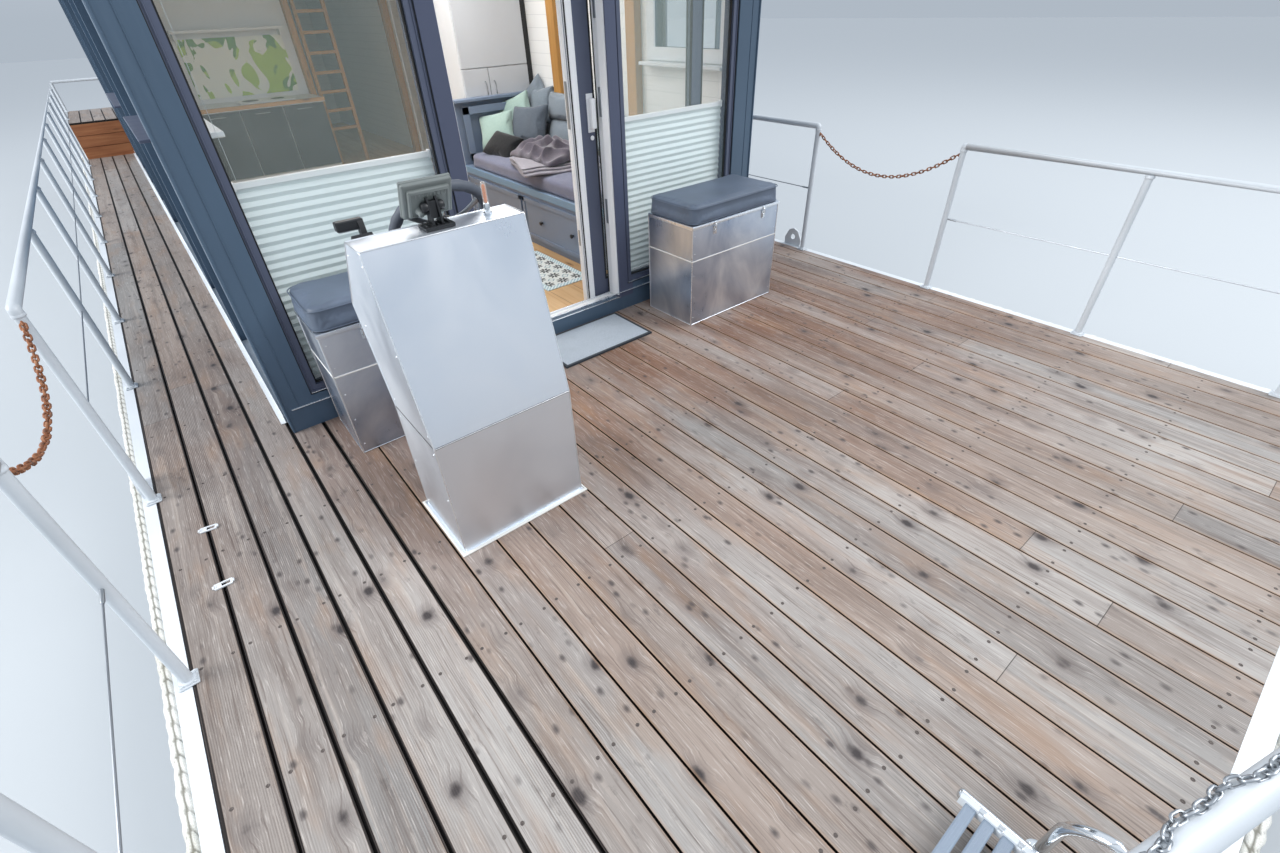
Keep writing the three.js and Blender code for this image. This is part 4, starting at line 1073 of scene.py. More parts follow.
def makeFront():
    # dark seals and beads run round each pane, bright strips along the sills, ridged boards line the doorway
    seals, beads, lips = [], [], []
    for key in ("left", "right"):
        y0, y1, z0, z1 = front[key]
        c = front["casing"]
        seals.append(windowLoop(-3466, y0 + c + 3, y1 - c - 3, z0 + c + 3, z1 - c - 3,
                                [(-5, -9), (5, -9), (5, 6), (-5, 9)]))
        seals.append(windowLoop(-3441, y0 + 1.5, y1 - 1.5, z0 + 1.5, z1 - 1.5, oblong(2.5, 3)))
        beads.append(windowLoop(-3442, y0 + 14, y1 - 14, z0 + 14, z1 - 14,
                                [(-3, -3), (3, -3), (1.5, 4), (-1.5, 4)]))
        lips.append(block((-3443, y0 + 6, z0 + 8), (-3430, y1 - 6, z0 + 11), 1))
    y0, y1, z0, z1 = front["door"]
    # the doorway's own reveal: dark seals up both sides
    for y in (y0 + 6, y1 - 6):
        seals.append(block((-3549, y - 5, z0 + 4), (-3541, y + 5, z1 - 2), 3))
    piece("front_seals", seals, "rubber")
    piece("front_beads", beads, "windowPaint")
    lips.append(block((-3432, -1640, 1168), (-3421, 1640, 1172), 1.5))
    lips.append(block((-3538, y0, z0 + 0.5), (-3530, y1, z0 + 12), 2))
    lips.append(block((-3475, y0, z0 + 0.5), (-3467, y1, z0 + 9), 2))
    lips.append(block((-3434, y0 - 2, z0 - 1), (-3428, y1 + 2, z0 + 4), 1.5))
    piece("sill_strips", lips, "edge")
    # white reveal boards of the doorway, ridged fore and aft, with two lock strikes on the port one
    ridge = [(-3546, 0), (-3546, 5), (-3536, 7), (-3526, 5), (-3516, 5), (-3506, 8), (-3494, 8), (-3484, 5),
             (-3440, 5), (-3440, 0)]
    port = slab([(x, y1 - 0.3 - d) for x, d in ridge], z1 - z0 - 14, axis=2, start=z0 + 12)
    board = slab([(x, y0 + 0.3 + d) for x, d in ridge], z1 - z0 - 14, axis=2, start=z0 + 12)
    head = block((-3546, y0 + 9, z1 - 8), (-3440, y1 - 9, z1 - 0.5), 2)
    piece("door_reveal", [port, board, head], "bright", smooth=25)
    strikes = [block((-3520, y1 - 12, z), (-3500, y1 - 5, z + 150), 2) for z in (1620, 2230, 2700)]
    strikes += [turned([(4, 0), (4, 3), (2, 4), (0.3, 4)], (-3510, y1 - 11, z + dz), (0, -1, 0), 8)
                for z in (1620, 2230, 2700) for dz in (18, 132)]
    piece("door_strikes", strikes, "dullSteel")


makeFront()


def makeDoorDetail():
    # ridged white edge of the leaf, its seal, the pane's dark seals and a rounded white pull over the small one
    y0, y1, z0, z1 = front["leaf"]
    teeth = [(-3601, 0), (-3601, 7), (-3594, 7), (-3592, 3), (-3586, 3), (-3584, 8), (-3576, 8), (-3574, 3),
             (-3568, 3), (-3566, 7), (-3562, 7), (-3562, 0)]
    edge = slab([(x, y0 - 0.3 - d) for x, d in teeth], z1 - z0 - 8, axis=2, start=z0 + 4)
    # the white edge goes on as a thin ridged strip on the leaf's outer face
    step = [(0, 0), (2.6, 0), (2.6, 15), (0.8, 17), (0.8, 19), (2.6, 21), (2.6, 38), (0.8, 40), (0.8, 42),
            (2.6, 44), (2.6, 56), (0, 56)]
    strip = slab([(front["leafFace"] - 0.2 + d, y0 + y) for d, y in step], z1 - z0 - 8, axis=2, start=z0 + 4)
    piece("door_edge", [edge, strip], "bright", "door", smooth=25)
    (gx0, gy0, gz0), (gx1, gy1, gz1) = (np.subtract(corner, (bowX, 0, 0)) * 1000
                                        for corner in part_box("door_glass"))
    loops = [windowLoop(x, gy0 - 1, gy1 + 1, gz0 - 1, gz1 + 1, oblong(6, 5)) for x in (gx0 - 6, gx1 + 6)]
    loops.append(windowLoop(-3554, y0 + 8, y1 - 8, z0 + 8, z1 - 8, oblong(4, 3)))
    piece("door_seals", loops, "rubber", "door")
    grip = gather(block((-3557, 380, 2150), (-3551, 424, 2350), 6, fine=True),
                  block((-3560, 388, 2172), (-3512, 416, 2328), 12, fine=True),
                  turned([(13, 0), (13, 4), (9, 6), (0.3, 6)], (-3552, 402, 2120), (1, 0, 0), 16))
    piece("door_pull", grip, "bright", "door", smooth=60)
    lock = gather(block((-3592, y0 - 10, 2180), (-3570, y0 - 7, 2420), 2),
                  block((-3588, y0 - 11, 1500), (-3574, y0 - 8, 1600), 2),
                  block((-3588, y0 - 11, 2800), (-3574, y0 - 8, 2900), 2))
    piece("door_lock_plates", lock, "dullSteel", "door")


makeDoorDetail()

blind = {"pitch": 19.5, "depth": 9.0, "low": 1252.3, "high": 2205, "inset": 46, "x": -3515}


def makeBlind(name, key):
    # cloth folded up and down: x = middle + depth/2 * a triangle wave
    # of z with two folds a pitch, rails at both ends
    y0, y1 = front[key][0] + blind["inset"], front[key][1] - blind["inset"]
    z0, z1 = blind["low"] + 14, blind["high"] - 22
    folds = int((z1 - z0) / blind["pitch"])
    z = np.linspace(z0, z1, folds + 1)
    x = blind["x"] + blind["depth"] * np.where(np.arange(folds + 1) % 2, 0.5, -0.5)
    rng = np.random.default_rng(5)
    ys = np.linspace(y0, y1, 24)
    wave = np.convolve(rng.normal(size=40), np.hanning(9) / 3, "valid")[:24]
    near = np.stack([x[:, None] + wave * 0.4, np.broadcast_to(ys, (len(z), 24)), z[:, None] + wave * 0.9], -1)
    cloth = piece(name + "_pleats", shell(near, near + (-1.2, 0, 0)), "pleats", smooth=20, replaces=name)
    bars = gather(block((-3524.5, y0, blind["high"] - 24), (-3503, y1, blind["high"] + 2), 4),
                  block((-3523, y0, blind["low"]), (-3505, y1, blind["low"] + 16), 4),
                  *[block((-3528, y - 6, blind["high"] - 30), (-3500, y + 6, blind["high"] + 8), 3)
                    for y in (y0 + 8, y1 - 8)])
    piece(name + "_rails", bars, "bright")
    cords = [pipe([(-3515, y, blind["high"]), (-3515, y, 3096)], 0.9, sides=6) for y in (y0 + 30, y1 - 30)]
    piece(name + "_tension_wires", cords, "white", smooth=35)


makeBlind("blind_starboard", "left")
makeBlind("blind_port", "right")
print("front made")


# helm console

console = {
    "y": (-1355, -802), "lower": ((-2471, 1040.3), (-2101, 1040.3), (-2101, 1560), (-2459, 1560)),
    "upper": ((-2101, 1560.3), (-2256, 2207), (-2388, 2207), (-2583, 1942), (-2459, 1560.3)),
}


def makeConsole():
    # bright folded edges along the profile's corners on both sides,
    # a seam strip, rivets, a sealant bead at the foot
    y0, y1 = console["y"]
    up, low = console["upper"], console["lower"]
    edges = []
    for y in (y0, y1):
        line = [(low[1][0], y, 1045), (low[1][0], y, 1560), (up[1][0], y, 2207), (up[2][0], y, 2207),
                (up[3][0], y, 1942), (low[3][0], y, 1560), (low[0][0], y, 1045)]
        edges.append(pipe(line, 2.6, 8, 8, up=(0, 1, 0), steps=3))
    for x, z in up[:4]:
        edges.append(pipe([(x, y0, z), (x, y1, z)], 2.4, sides=8))
    edges.append(pipe([(low[0][0], y0, 1047), (low[0][0], y1, 1047)], 2.4, sides=8))
    piece("console_edges", edges, "edge", smooth=60)
    seam = gather(block((low[1][0] - 1, y0 + 2, 1557), (low[1][0] + 1.4, y1 - 2, 1563), 0.7),
                  block((low[3][0], y0 - 1.2, 1558), (low[1][0], y0 + 1, 1562), 0.7),
                  block((low[3][0], y1 - 1, 1558), (low[1][0], y1 + 1.2, 1562), 0.7))
    piece("console_seam", seam, "rubber")
    foot = carry(around(-2486, y0 - 14, -2088, y1 + 14, 1045),
                 [(-5, -5), (5, -5), (6, -1), (2, 3), (-3, 4), (-5, 1)], closed=True)
    piece("console_sealant", foot, "sealant", smooth=50)
    rivet = turned([(4.5, 0), (4.2, 1.4), (2.6, 2.4), (0.3, 2.6)], (0, 0, 0), sides=10)
    side = [(-2130, 1600), (-2440, 1600), (-2205, 1880), (-2500, 1880), (-2265, 2160), (-2400, 2160)]
    side += [(x, z) for z in (1520, 1300, 1080) for x in (-2130, -2440)]
    parts = [copies(moved(rivet, Matrix.Rotation(math.radians(turn), 4, "X")), [(x, y, z) for x, z in side])
             for y, turn in ((y0, 90), (y1, -90))]
    piece("console_rivets", parts, "edge", smooth=60)
    # the panel that faces the driver: a black plate with switches and a pair of gauges
    a, b = np.array(up[2], float), np.array(up[3], float)
    along = (b - a) / np.linalg.norm(b - a)
    out = np.array([-along[1], along[0]])
    if out[0] > 0:
        out = -out
    mid = (a + b) / 2
    frameTurn = Matrix(((0, along[0], out[0], mid[0] + out[0] * 1.0), (1, 0, 0, -1040),
                        (0, along[1], out[1], mid[1] + out[1] * 1.0), (0, 0, 0, 1)))
    plate = block((-185, -120, 0), (215, 120, 4), 3)
    switches = [block((-170 + 34 * k, 62, 3), (-146 + 34 * k, 104, 11), 4) for k in range(6)]
    gauges = [turned([(34, 3), (34, 11), (29, 12), (28, 6), (0.5, 6)], (x, -72, 0), sides=32)
              for x in (-140, 176)]
    piece("helm_panel", moved(gather(plate, *switches, *gauges), frameTurn), "black", smooth=40)
    needles = [block((x - 1.2, -74, 6.5), (x + 1.2, -50, 8), 0.5) for x in (-140, 176)]
    dials = [turned([(28, 5.9), (28, 6.4), (0.4, 6.4)], (x, -72, 0), sides=32) for x in (-140, 176)]
    piece("gauge_faces", moved(gather(*needles, *dials), frameTurn), "board", smooth=40)


makeConsole()

wheel = {"centre": (-2580.5, -973, 2144.4), "axis": (-0.8054, 0, 0.5927), "radius": 173, "rim": 19}


def makeWheel():
    # rim: a torus of 19 mm section with finger bumps below; spokes: flat tapered bars bent back to the hub
    axis = np.array(wheel["axis"])
    side = np.array((0, 1.0, 0))
    over = np.cross(axis, side)
    centre = np.array(wheel["centre"])
    t = np.arange(96) / 96 * 2 * np.pi
    ring = centre + wheel["radius"] * (np.cos(t)[:, None] * side + np.sin(t)[:, None] * over)
    grip = 1 + 0.05 * np.sin(t * 24) * (np.sin(t) < 0.2)
    section = circle(wheel["rim"], 16)
    rim = carry(ring, section[None] * grip[:, None, None], up=axis, closed=True)
    piece("wheel_rim", rim, "wheelRim", "helm", smooth=80, replaces="helm_wheel")
    spokes = []
    for deg in (90, 210, 330):
        way = math.cos(math.radians(deg)) * side + math.sin(math.radians(deg)) * over
        inner, outer = centre - axis * 26 + way * 28, centre + way * (wheel["radius"] - 6)
        middle = centre - axis * 20 + way * 95
        line = bent([inner, middle, outer], 50, 8)
        width = np.interp(np.linspace(0, 1, len(line)), (0, 0.5, 1), (19, 12, 15))
        turnOf = np.arange(14) / 14 * 2 * np.pi
        shape = np.stack([np.stack([wide * np.cos(turnOf), 4.5 * np.sin(turnOf)], 1) for wide in width])
        spokes.append(carry(line, shape, up=axis))
    hub = turned([(16, -100), (16, -42), (44, -38), (47, -22), (44, -12), (30, -8), (28, -4), (0.4, -3)],
                 centre, axis, 32)
    piece("wheel_spokes", spokes, "dullSteel", "helm", smooth=60)
    piece("wheel_hub", hub, "black", "helm", smooth=60)


makeWheel()


screenUnit = {"centre": (-2345, -1085.5, 2291.3), "up": (0.4226, 0, 0.9063), "back": (0.9063, 0, -0.4226)}


def makeDisplay():
    # a rounded casing seen from behind, its top leant to the bow: raised
    # back with a lip and vents, socket, two-lug mount
    up, back = np.array(screenUnit["up"]), np.array(screenUnit["back"])
    stand = np.eye(4)
    stand[:3, 0], stand[:3, 1], stand[:3, 2], stand[:3, 3] = (0, 1, 0), up, back, screenUnit["centre"]
    case = block((-82, -61, -16), (82, 61, 4), 15, fine=True)
    rim = block((-84, -63, -20), (84, 63, -9), 10, fine=True)
    hump = block((-68, -50, -2), (68, 44, 17), 12, fine=True)
    lip = carry([(-60, 36, 15.5), (-60, -42, 15.5), (60, -42, 15.5), (60, 36, 15.5)],
                [(-3, -3), (3, -3), (3, 2), (0, 4), (-3, 2)], closed=True)
    vents = [block((-48 + 12 * k, 20, 15), (-42 + 12 * k, 32, 18.5), 1.5) for k in range(9)]
    socket = turned([(13, 0), (13, 8), (10, 11), (10, 24), (7, 27), (0.3, 27)], (-38, -24, 15), sides=16)
    piece("display_case", moved(gather(case, rim, hump, lip, *vents, socket), stand), "greyPlastic", smooth=50,
          replaces="display")
    screen = block((-74, -53, -21.2), (74, 53, -18.5), 1)
    piece("display_screen", moved(screen, stand), "darkGlass")
    z = 2207
    base = [block((-2350, -1135, z + 0.4), (-2285, -1035, z + 13), 4, fine=True)]
    base += [block((-2342, -1126 + 18 * k, z + 10), (-2293, -1120 + 18 * k, z + 18), 2) for k in range(5)]
    lugs = [slab([(-2340, z + 8), (-2296, z + 8), (-2304, z + 62), (-2312, z + 96), (-2326, z + 92),
                  (-2330, z + 60)], 7, axis=1, start=y) for y in (-1103, -1074)]
    knobs = [turned([(15, 0), (16, 3), (16, 15), (12, 19), (0.4, 19)], (-2318, y, z + 66), (0, s, 0), 12)
             for y, s in ((-1103, -1), (-1067, 1))]
    pin = pipe([(-2318, -1112, z + 66), (-2318, -1060, z + 66)], 5, sides=10)
    foot = block((-2338, -1098, z + 30), (-2310, -1072, z + 84), 6, fine=True)
    piece("display_mount", [*base, *lugs, *knobs, pin, foot], "black", smooth=45)
    # a clear-topped stub beside it: chrome foot, amber core, clear cap
    x, y = -2330, -898
    piece("stub_foot", turned([(15, 0.3), (15, 6), (11, 9), (11, 34), (8, 38), (0.3, 38)], (x, y, z), sides=24),
          "chrome", smooth=40)
    piece("stub_core", turned([(5.5, 38), (5.5, 88), (3, 96), (0.3, 96)], (x, y, z), sides=16), "amber",
          smooth=40)
    piece("stub_cap", turned([(9.5, 38), (9.5, 96), (7, 104), (0.3, 106)], (x, y, z), sides=20), "clear",
          smooth=40)


makeDisplay()


def makeThrottle():
    # a box on the aft upper face, a flat arm rising past the edge, a thick
    # flat grip to starboard with a bright strip below
    y = -1290
    box = slab([(-2400.1, 2191.1), (-2459.4, 2110.6), (-2484, 2134.6), (-2478, 2150), (-2441, 2200),
                (-2430.2, 2207.1)], 64, axis=1, start=y - 32)
    arm = slab([(-2457, 2164), (-2439, 2188), (-2450, 2232), (-2458, 2244), (-2480, 2240), (-2474, 2200)], 18,
               axis=1, start=y + 4)
    grip = block((-2486, y - 62, 2216), (-2456, y + 24, 2246), 9, fine=True)
    collar = turned([(22, 0), (22, 4), (15, 9), (10, 16)], (-2450, y - 32, 2160), (0, -1, 0), 24)
    piece("throttle_lever", [box, arm, grip, collar], "black", smooth=40, replaces="throttle")
    strip = block((-2483, y - 58, 2213), (-2460, y + 10, 2217), 1.5)
    piece("throttle_strip", strip, "dullSteel")


makeThrottle()
print("console made")


# lockers and their cushions

lockers = {
    "starboard": {"x": (-3386, -3020), "y": (-1453, -683), "latches": (-1267, -869)},
    "port": {"x": (-3333, -2926), "y": (641, 1411), "latches": (827, 1267)},
    "floor": 1040.3, "top": 1662, "cushion": (1680.3, 1792), "seam": 1466, "over": 8,
}


def makeLocker(key):
    # bright angle strips on the four uprights and under the lid, a sealed seam, two toggle latches on the front
    x0, x1 = lockers[key]["x"]
    y0, y1 = lockers[key]["y"]
    z0, z1 = lockers["floor"], lockers["top"]
    body = "lid_" + key
    uprights = [pipe([(x, y, z0 + 2), (x, y, z1 - 2)], 3.4, sides=8) for x in (x0, x1) for y in (y0, y1)]
    rims = [pipe(around(x0, y0, x1, y1, z) + [(x0, y0, z)], 2.6, 4, 8) for z in (z0 + 3, z1 - 3)]
    piece("locker_edges_" + key, [*uprights, *rims], "edge", smooth=60)
    lid = carry(around(x0 + 14, y0 - 4, x1 + 4, y1 + 4, 1671),
                [(-3, -7), (3, -7), (3.6, 0), (3, 7), (-3, 7)])
    piece("lid_edge_" + key, lid, "edge", body, smooth=50)
    bead = carry(around(x0 - 1, y0 - 1, x1 + 1, y1 + 1, lockers["seam"]),
                 [(-1, -3.4), (1.6, -3), (2.4, 0), (1.6, 3), (-1, 3.4)], closed=True)
    piece("locker_bead_" + key, bead, "sealant", smooth=60)
    fixed, hooks = [], []
    for y in lockers[key]["latches"]:
        fixed += [block((x1, y - 15, 1600), (x1 + 3, y + 15, 1648), 1.2),
                  block((x1 + 2, y - 9, 1606), (x1 + 9, y + 9, 1632), 2.5),
                  pipe([(x1 + 7, y - 12, 1622), (x1 + 7, y + 12, 1622)], 2.2, sides=8),
                  pipe([(x1 + 8, y - 8, 1624), (x1 + 10, y - 8, 1657), (x1 + 10, y + 8, 1657),
                        (x1 + 8, y + 8, 1624)], 1.8, 6, 8)]
        fixed += [turned([(3.4, 0), (3, 1.6), (0.3, 2)], (x1 + 2.5, y + a, 1600 + b), (1, 0, 0), 8)
                  for a in (-11, 11) for b in (6, 42)]
        hooks += [block((x1 + 4, y - 13, 1663), (x1 + 12, y + 13, 1677), 1.5),
                  block((x1 + 9, y - 9, 1655), (x1 + 15, y + 9, 1664), 2.5)]
    piece("latches_" + key, fixed, "chrome", smooth=40)
    piece("latch_hooks_" + key, hooks, "chrome", body, smooth=40)
    hinge = [turned([(5, 0), (5, (y1 - y0) * 0.16)], (x0 - 2, y, z1 + 1), (0, 1, 0), 10)
             for y in (y0 + 70, y1 - 70 - (y1 - y0) * 0.16)]
    leaves = [block((x0 - 2.6, y, z1 - 34), (x0 - 0.2, y + (y1 - y0) * 0.16, z1), 1)
              for y in (y0 + 70, y1 - 70 - (y1 - y0) * 0.16)]
    piece("locker_hinges_" + key, [*hinge, *leaves], "dullSteel", smooth=40)
    rivet = turned([(3.6, 0), (3.2, 1.2), (1.8, 1.9), (0.3, 2)], (0, 0, 0), (1, 0, 0), 8)
    places = [(x1 + 0.2, y, z) for y in (y0 + 18, y1 - 18) for z in (1090, 1230, 1370, 1510, 1620)]
    piece("locker_rivets_" + key, copies(rivet, places), "edge", smooth=60)


for key in ("starboard", "port"):
    makeLocker(key)

cushion = {"corner": 55, "cell": 7.4, "pressure": 3.2, "frames": 18, "cap": 0.006, "pin": 0.012}


def softBox(low, high, corner):
    # a box with upright rounded corners: rings of its outline, drawn in by an inset at the foot and at the top
    x0, y0, z0 = low
    x1, y1, z1 = high
    outline = roundedOutline(x0, y0, x1, y1, corner)
    e = min(16.0, (z1 - z0) * 0.3)
    middle = outline.mean(0)
    levels = [(z0, 5.0), (z0 + e * 0.4, 0), (z1 - e, 0), (z1 - e * 0.3, e * 0.3), (z1, e)]
    inward = (middle - outline) / np.linalg.norm(middle - outline, axis=1, keepdims=True)
    return ringLoft([np.column_stack([outline + inward * inset, np.full(len(outline), z)])
                     for z, inset in levels])


def bounded(made, settings):
    # an even-quad remesh, then a cloth blown from inside for some frames with no weight on it, every point's
    # move cut to at most cap metres, then one subdivision that rounds the facets
    remesh = made.modifiers.new("even", "REMESH")
    remesh.mode, remesh.voxel_size, remesh.use_smooth_shade = "VOXEL", settings["cell"] / 1000, True
    bpy.context.view_layer.objects.active = made
    bpy.ops.object.modifier_apply(modifier="even")
    mesh = made.data
    start = np.empty(len(mesh.vertices) * 3, np.float32)
    mesh.vertices.foreach_get("co", start)
    cloth = made.modifiers.new("cloth", "CLOTH")
    cloth.settings.quality = 5
    cloth.settings.mass = 0.3
    cloth.settings.tension_stiffness = cloth.settings.compression_stiffness = 18
    cloth.settings.bending_stiffness = 0.6
    cloth.settings.use_pressure = True
    cloth.settings.uniform_pressure_force = settings["pressure"]
    cloth.settings.effector_weights.gravity = 0
    cloth.collision_settings.use_collision = False
    cloth.collision_settings.use_self_collision = False
    cloth.point_cache.frame_start, cloth.point_cache.frame_end = 1, settings["frames"]
    if settings.get("pin"):
        group = made.vertex_groups.new(name="held")
        z = start.reshape(-1, 3)[:, 2]
        held = np.nonzero(z < z.min() + settings["pin"])[0]
        group.add([int(i) for i in held], 1.0, "REPLACE")
        cloth.settings.vertex_group_mass = "held"
    for k in range(1, settings["frames"] + 1):
        bpy.context.scene.frame_set(k)
    graph = bpy.context.evaluated_depsgraph_get()
    blown = np.empty_like(start)
    made.evaluated_get(graph).data.vertices.foreach_get("co", blown)
    made.modifiers.clear()
    move = (blown - start).reshape(-1, 3)
    size = np.linalg.norm(move, axis=1, keepdims=True)
    move *= np.minimum(1, settings["cap"] / np.maximum(size, 1e-9))
    mesh.vertices.foreach_set("co", (start.reshape(-1, 3) + move).ravel())
    bpy.context.scene.frame_set(1)
    smooth = made.modifiers.new("round", "SUBSURF")
    smooth.levels = smooth.render_levels = 1
    bpy.ops.object.modifier_apply(modifier="round")


def makeCushion(key):
    # the padded seat with a welt round its upper and lower edges
    x0, x1 = lockers[key]["x"]
    y0, y1 = lockers[key]["y"]
    low, high = lockers["cushion"]
    o = lockers["over"] - 4
    made = piece("cushion_" + key, softBox((x0 - o, y0 - o, low + 1), (x1 + o, y1 + o, high - 5),
                                           cushion["corner"]), "vinyl", "lid_" + key, smooth=180,
                 replaces="locker_cushion_" + key)
    bounded(made, cushion)
    outline = roundedOutline(x0 - o - 1, y0 - o - 1, x1 + o + 1, y1 + o + 1, cushion["corner"] + 2)
    welts = [carry(np.column_stack([outline, np.full(len(outline), z)]), circle(2.6, 8), closed=True)
             for z in (low + 9, high - 16)]
    piece("cushion_welts_" + key, welts, "vinyl", "lid_" + key, smooth=180)


for key in ("starboard", "port"):
    makeCushion(key)
print("lockers made")


# the gate in the bow rail, the ladder and its hoops

gate = {"pivot": (30.0, -200.0), "swing": 16.7, "length": 1143, "low": 1740, "top": 1970,
        "links": 47, "pitch": 16.6, "chainRadius": 25.0}


def gatePlace(along, z):
    # a point that far along the gate: pivot + along * (-sin, -cos) of its swing
    t = math.radians(gate["swing"])
    return (gate["pivot"][0] - along * math.sin(t), gate["pivot"][1] - along * math.cos(t), z)


def makeGate():
    # one top pipe and end bar, stile, mid bars, hinge collars; a galvanised chain wound round the top pipe
    at, length, low, top = gatePlace, gate["length"], gate["low"], gate["top"]
    bars = [pipe([at(0, top), at(length + 8, top)], 21, sides=18),
            turned([(21, 0), (19, 7), (12, 12), (0.4, 14)], at(length + 8, top),
                   np.subtract(at(1, 0), at(0, 0)), 18),
            turned([(21, 0), (19, 4), (12, 7), (0.4, 8)], at(0, top), np.subtract(at(0, 0), at(1, 0)), 18),
            pipe([at(0, 1331), at(0, 1890.5)], 15, sides=16), pipe([at(0, 1901), at(0, 1952)], 15, sides=16),
            pipe([at(14, low), at(length - 30, low)], 11, sides=12),
            pipe([at(length - 30, low - 4), at(length - 30, top - 12)], 13, sides=14),
            pipe([at(length * 0.5, low), at(length * 0.5, top - 14)], 8, sides=12),
            turned([(13, -32), (18, -27), (17, -20), (12, -14)], at(length - 30, top), sides=14)]
    piece("bow_gate_bars", bars, "white", "gate", smooth=40, replaces="bow_gate")
    # links follow the pipe's upper side, wandering round it by a slow sine, each turned a quarter from the last
    k = np.arange(gate["links"])
    a = 1.0 + 0.30 * np.sin(k * 0.31) + 0.15 * np.sin(k * 1.1)
    way, up = np.subtract(at(1, 0), at(0, 0)), np.array((0, 0, 1.0))
    side = np.cross(way, up)
    out = np.cos(a)[:, None] * side + np.sin(a)[:, None] * up
    centre = np.array(at(0, top)) + (330 + k * gate["pitch"])[:, None] * way + gate["chainRadius"] * out
    ahead = np.gradient(centre, axis=0)
    ahead /= np.linalg.norm(ahead, axis=1, keepdims=True)
    tilt = (k % 2 * np.pi / 2 + 0.4)[:, None]
    across = out * np.cos(tilt) + np.cross(ahead, out) * np.sin(tilt)
    chain = strung(linkForm(10.6, 5.6, 2.1, 6), centre, ahead, across)
    piece("gate_chain", chain, "dullSteel", "gate", smooth=60)


makeGate()

ladder = {"y0": -1137, "y1": -737, "pivotX": 130, "pivotZ": 1100, "aft": -441, "tube": 15, "first": 20,
          "pitch": 46, "treads": 4}


def makeLadder():
    # two chrome side pipes with rounded heels, white toothed side plates, ribbed treads, hinge pin with washers
    y0, y1, z = ladder["y0"], ladder["y1"], ladder["pivotZ"]
    r, heel, pivot = ladder["tube"], ladder["aft"] + 2, ladder["pivotX"]
    tubes = [pipe([(heel, y + s * r, z), (pivot + 22, y + s * r, z)], r, sides=18)
             for y, s in ((y0, 1), (y1, -1))]
    tubes += [turned([(15, 0), (13, 5), (7, 8), (0.4, 9)], (x, y + s * r, z), (way, 0, 0), 18)
              for x, way in ((heel, -1), (pivot + 22, 1)) for y, s in ((y0, 1), (y1, -1))]
    pin = pipe([(pivot, y0 - 26, z), (pivot, y1 + 26, z)], 7.6, sides=14)
    washers = [turned([(8, -1.6), (14, -1.6), (14, 1.6), (8, 1.6)], (pivot, y, z), (0, 1, 0), 16)
               for y in (y0 - 24.5, y1 + 24.5, y0 - 7, y1 + 7)]
    piece("ladder_tubes", [*tubes, pin, *washers], "chrome", "ladder", smooth=50, replaces="boarding_ladder")
    first = ladder["aft"] + ladder["first"]
    steps = [first + ladder["pitch"] * i for i in range(ladder["treads"])]
    treads, plates = [], []
    for x in steps:
        treads.append(block((x, y0 + 26, z - 12), (x + 28, y1 - 26, z + 12), 5))
        treads += [block((x + 4 + 7 * k, y0 + 40, z + 11), (x + 7 + 7 * k, y1 - 40, z + 13.6), 1)
                   for k in range(3)]
    for y in (y0 + 20, y1 - 34):
        # the plate's upper edge dips between the treads: a tooth line of the tread pitch
        line = [(first - 16, z - 15), (first - 16, z + 15)]
        for x in steps:
            line += [(x - 2, z + 19), (x + 30, z + 19), (x + 33, z + 7), (x + 42, z + 7)]
        line += [(steps[-1] + ladder["pitch"] + 2, z + 16), (steps[-1] + ladder["pitch"] + 2, z - 15)]
        plates.append(slab(line, 14, axis=1, start=y))
    piece("ladder_treads", treads, "tread", "ladder", smooth=40)
    piece("ladder_plates", plates, "white", "ladder")
    bolts = [turned([(5, 0), (5, 4), (2.5, 5), (0.3, 5)], (x + 14, y, z + 1), (0, s, 0), 6)
             for x in steps for y, s in ((y0 + 34, 1), (y1 - 34, -1))]
    piece("ladder_bolts", bolts, "dullSteel", "ladder")


hoops = {"y": (-706, -1168), "x": (-254, -46), "rise": 1176, "radius": 104, "tube": 14}


def makeHoops():
    # grab hoops on the deck either side of the ladder: two legs and
    # a half round top, flanges and screws at the feet
    parts = []
    (x0, x1), r = hoops["x"], hoops["radius"]
    for y in hoops["y"]:
        a = np.linspace(np.pi, 0, 17)
        arch = np.stack([(x0 + x1) / 2 + r * np.cos(a), np.full(17, float(y)), hoops["rise"] + r * np.sin(a)],
                        1)
        line = np.concatenate([[(x0, y, 1041)], arch, [(x1, y, 1041)]])
        parts.append(pipe(line, hoops["tube"], sides=20))
        for x in hoops["x"]:
            parts.append(turned([(13, 0.4), (30, 0.4), (30, 4), (24, 7), (15, 8)], (x, y, 1040), sides=24))
            parts += [turned([(3.6, 5), (3.2, 7), (0.3, 7.6)],
                             (x + 22 * math.cos(b), y + 22 * math.sin(b), 1040), sides=8)
                      for b in (0.8, 2.9, 5.0)]
    piece("grab_hoops", parts, "chrome", smooth=50)


makeLadder()
makeHoops()
print("gate and ladder made")


# cabin outside: casings, trims and roof

sideWindows = [(-3941, 760, 2440, 3130), (-6641, 1000, 2340, 3130)]
outside = {"wall": 1629, "inner": 1519, "face": 1628, "foot": 1090, "head": 3366, "aft": -13326, "fore": -3556}


def sideLoop(y, x0, x1, z0, z1, profile):
    # a bar round a rectangle in the plane y
    return carry([(x0, y, z0), (x1, y, z0), (x1, y, z1), (x0, y, z1)], profile, up=(0, 1, 0), closed=True)


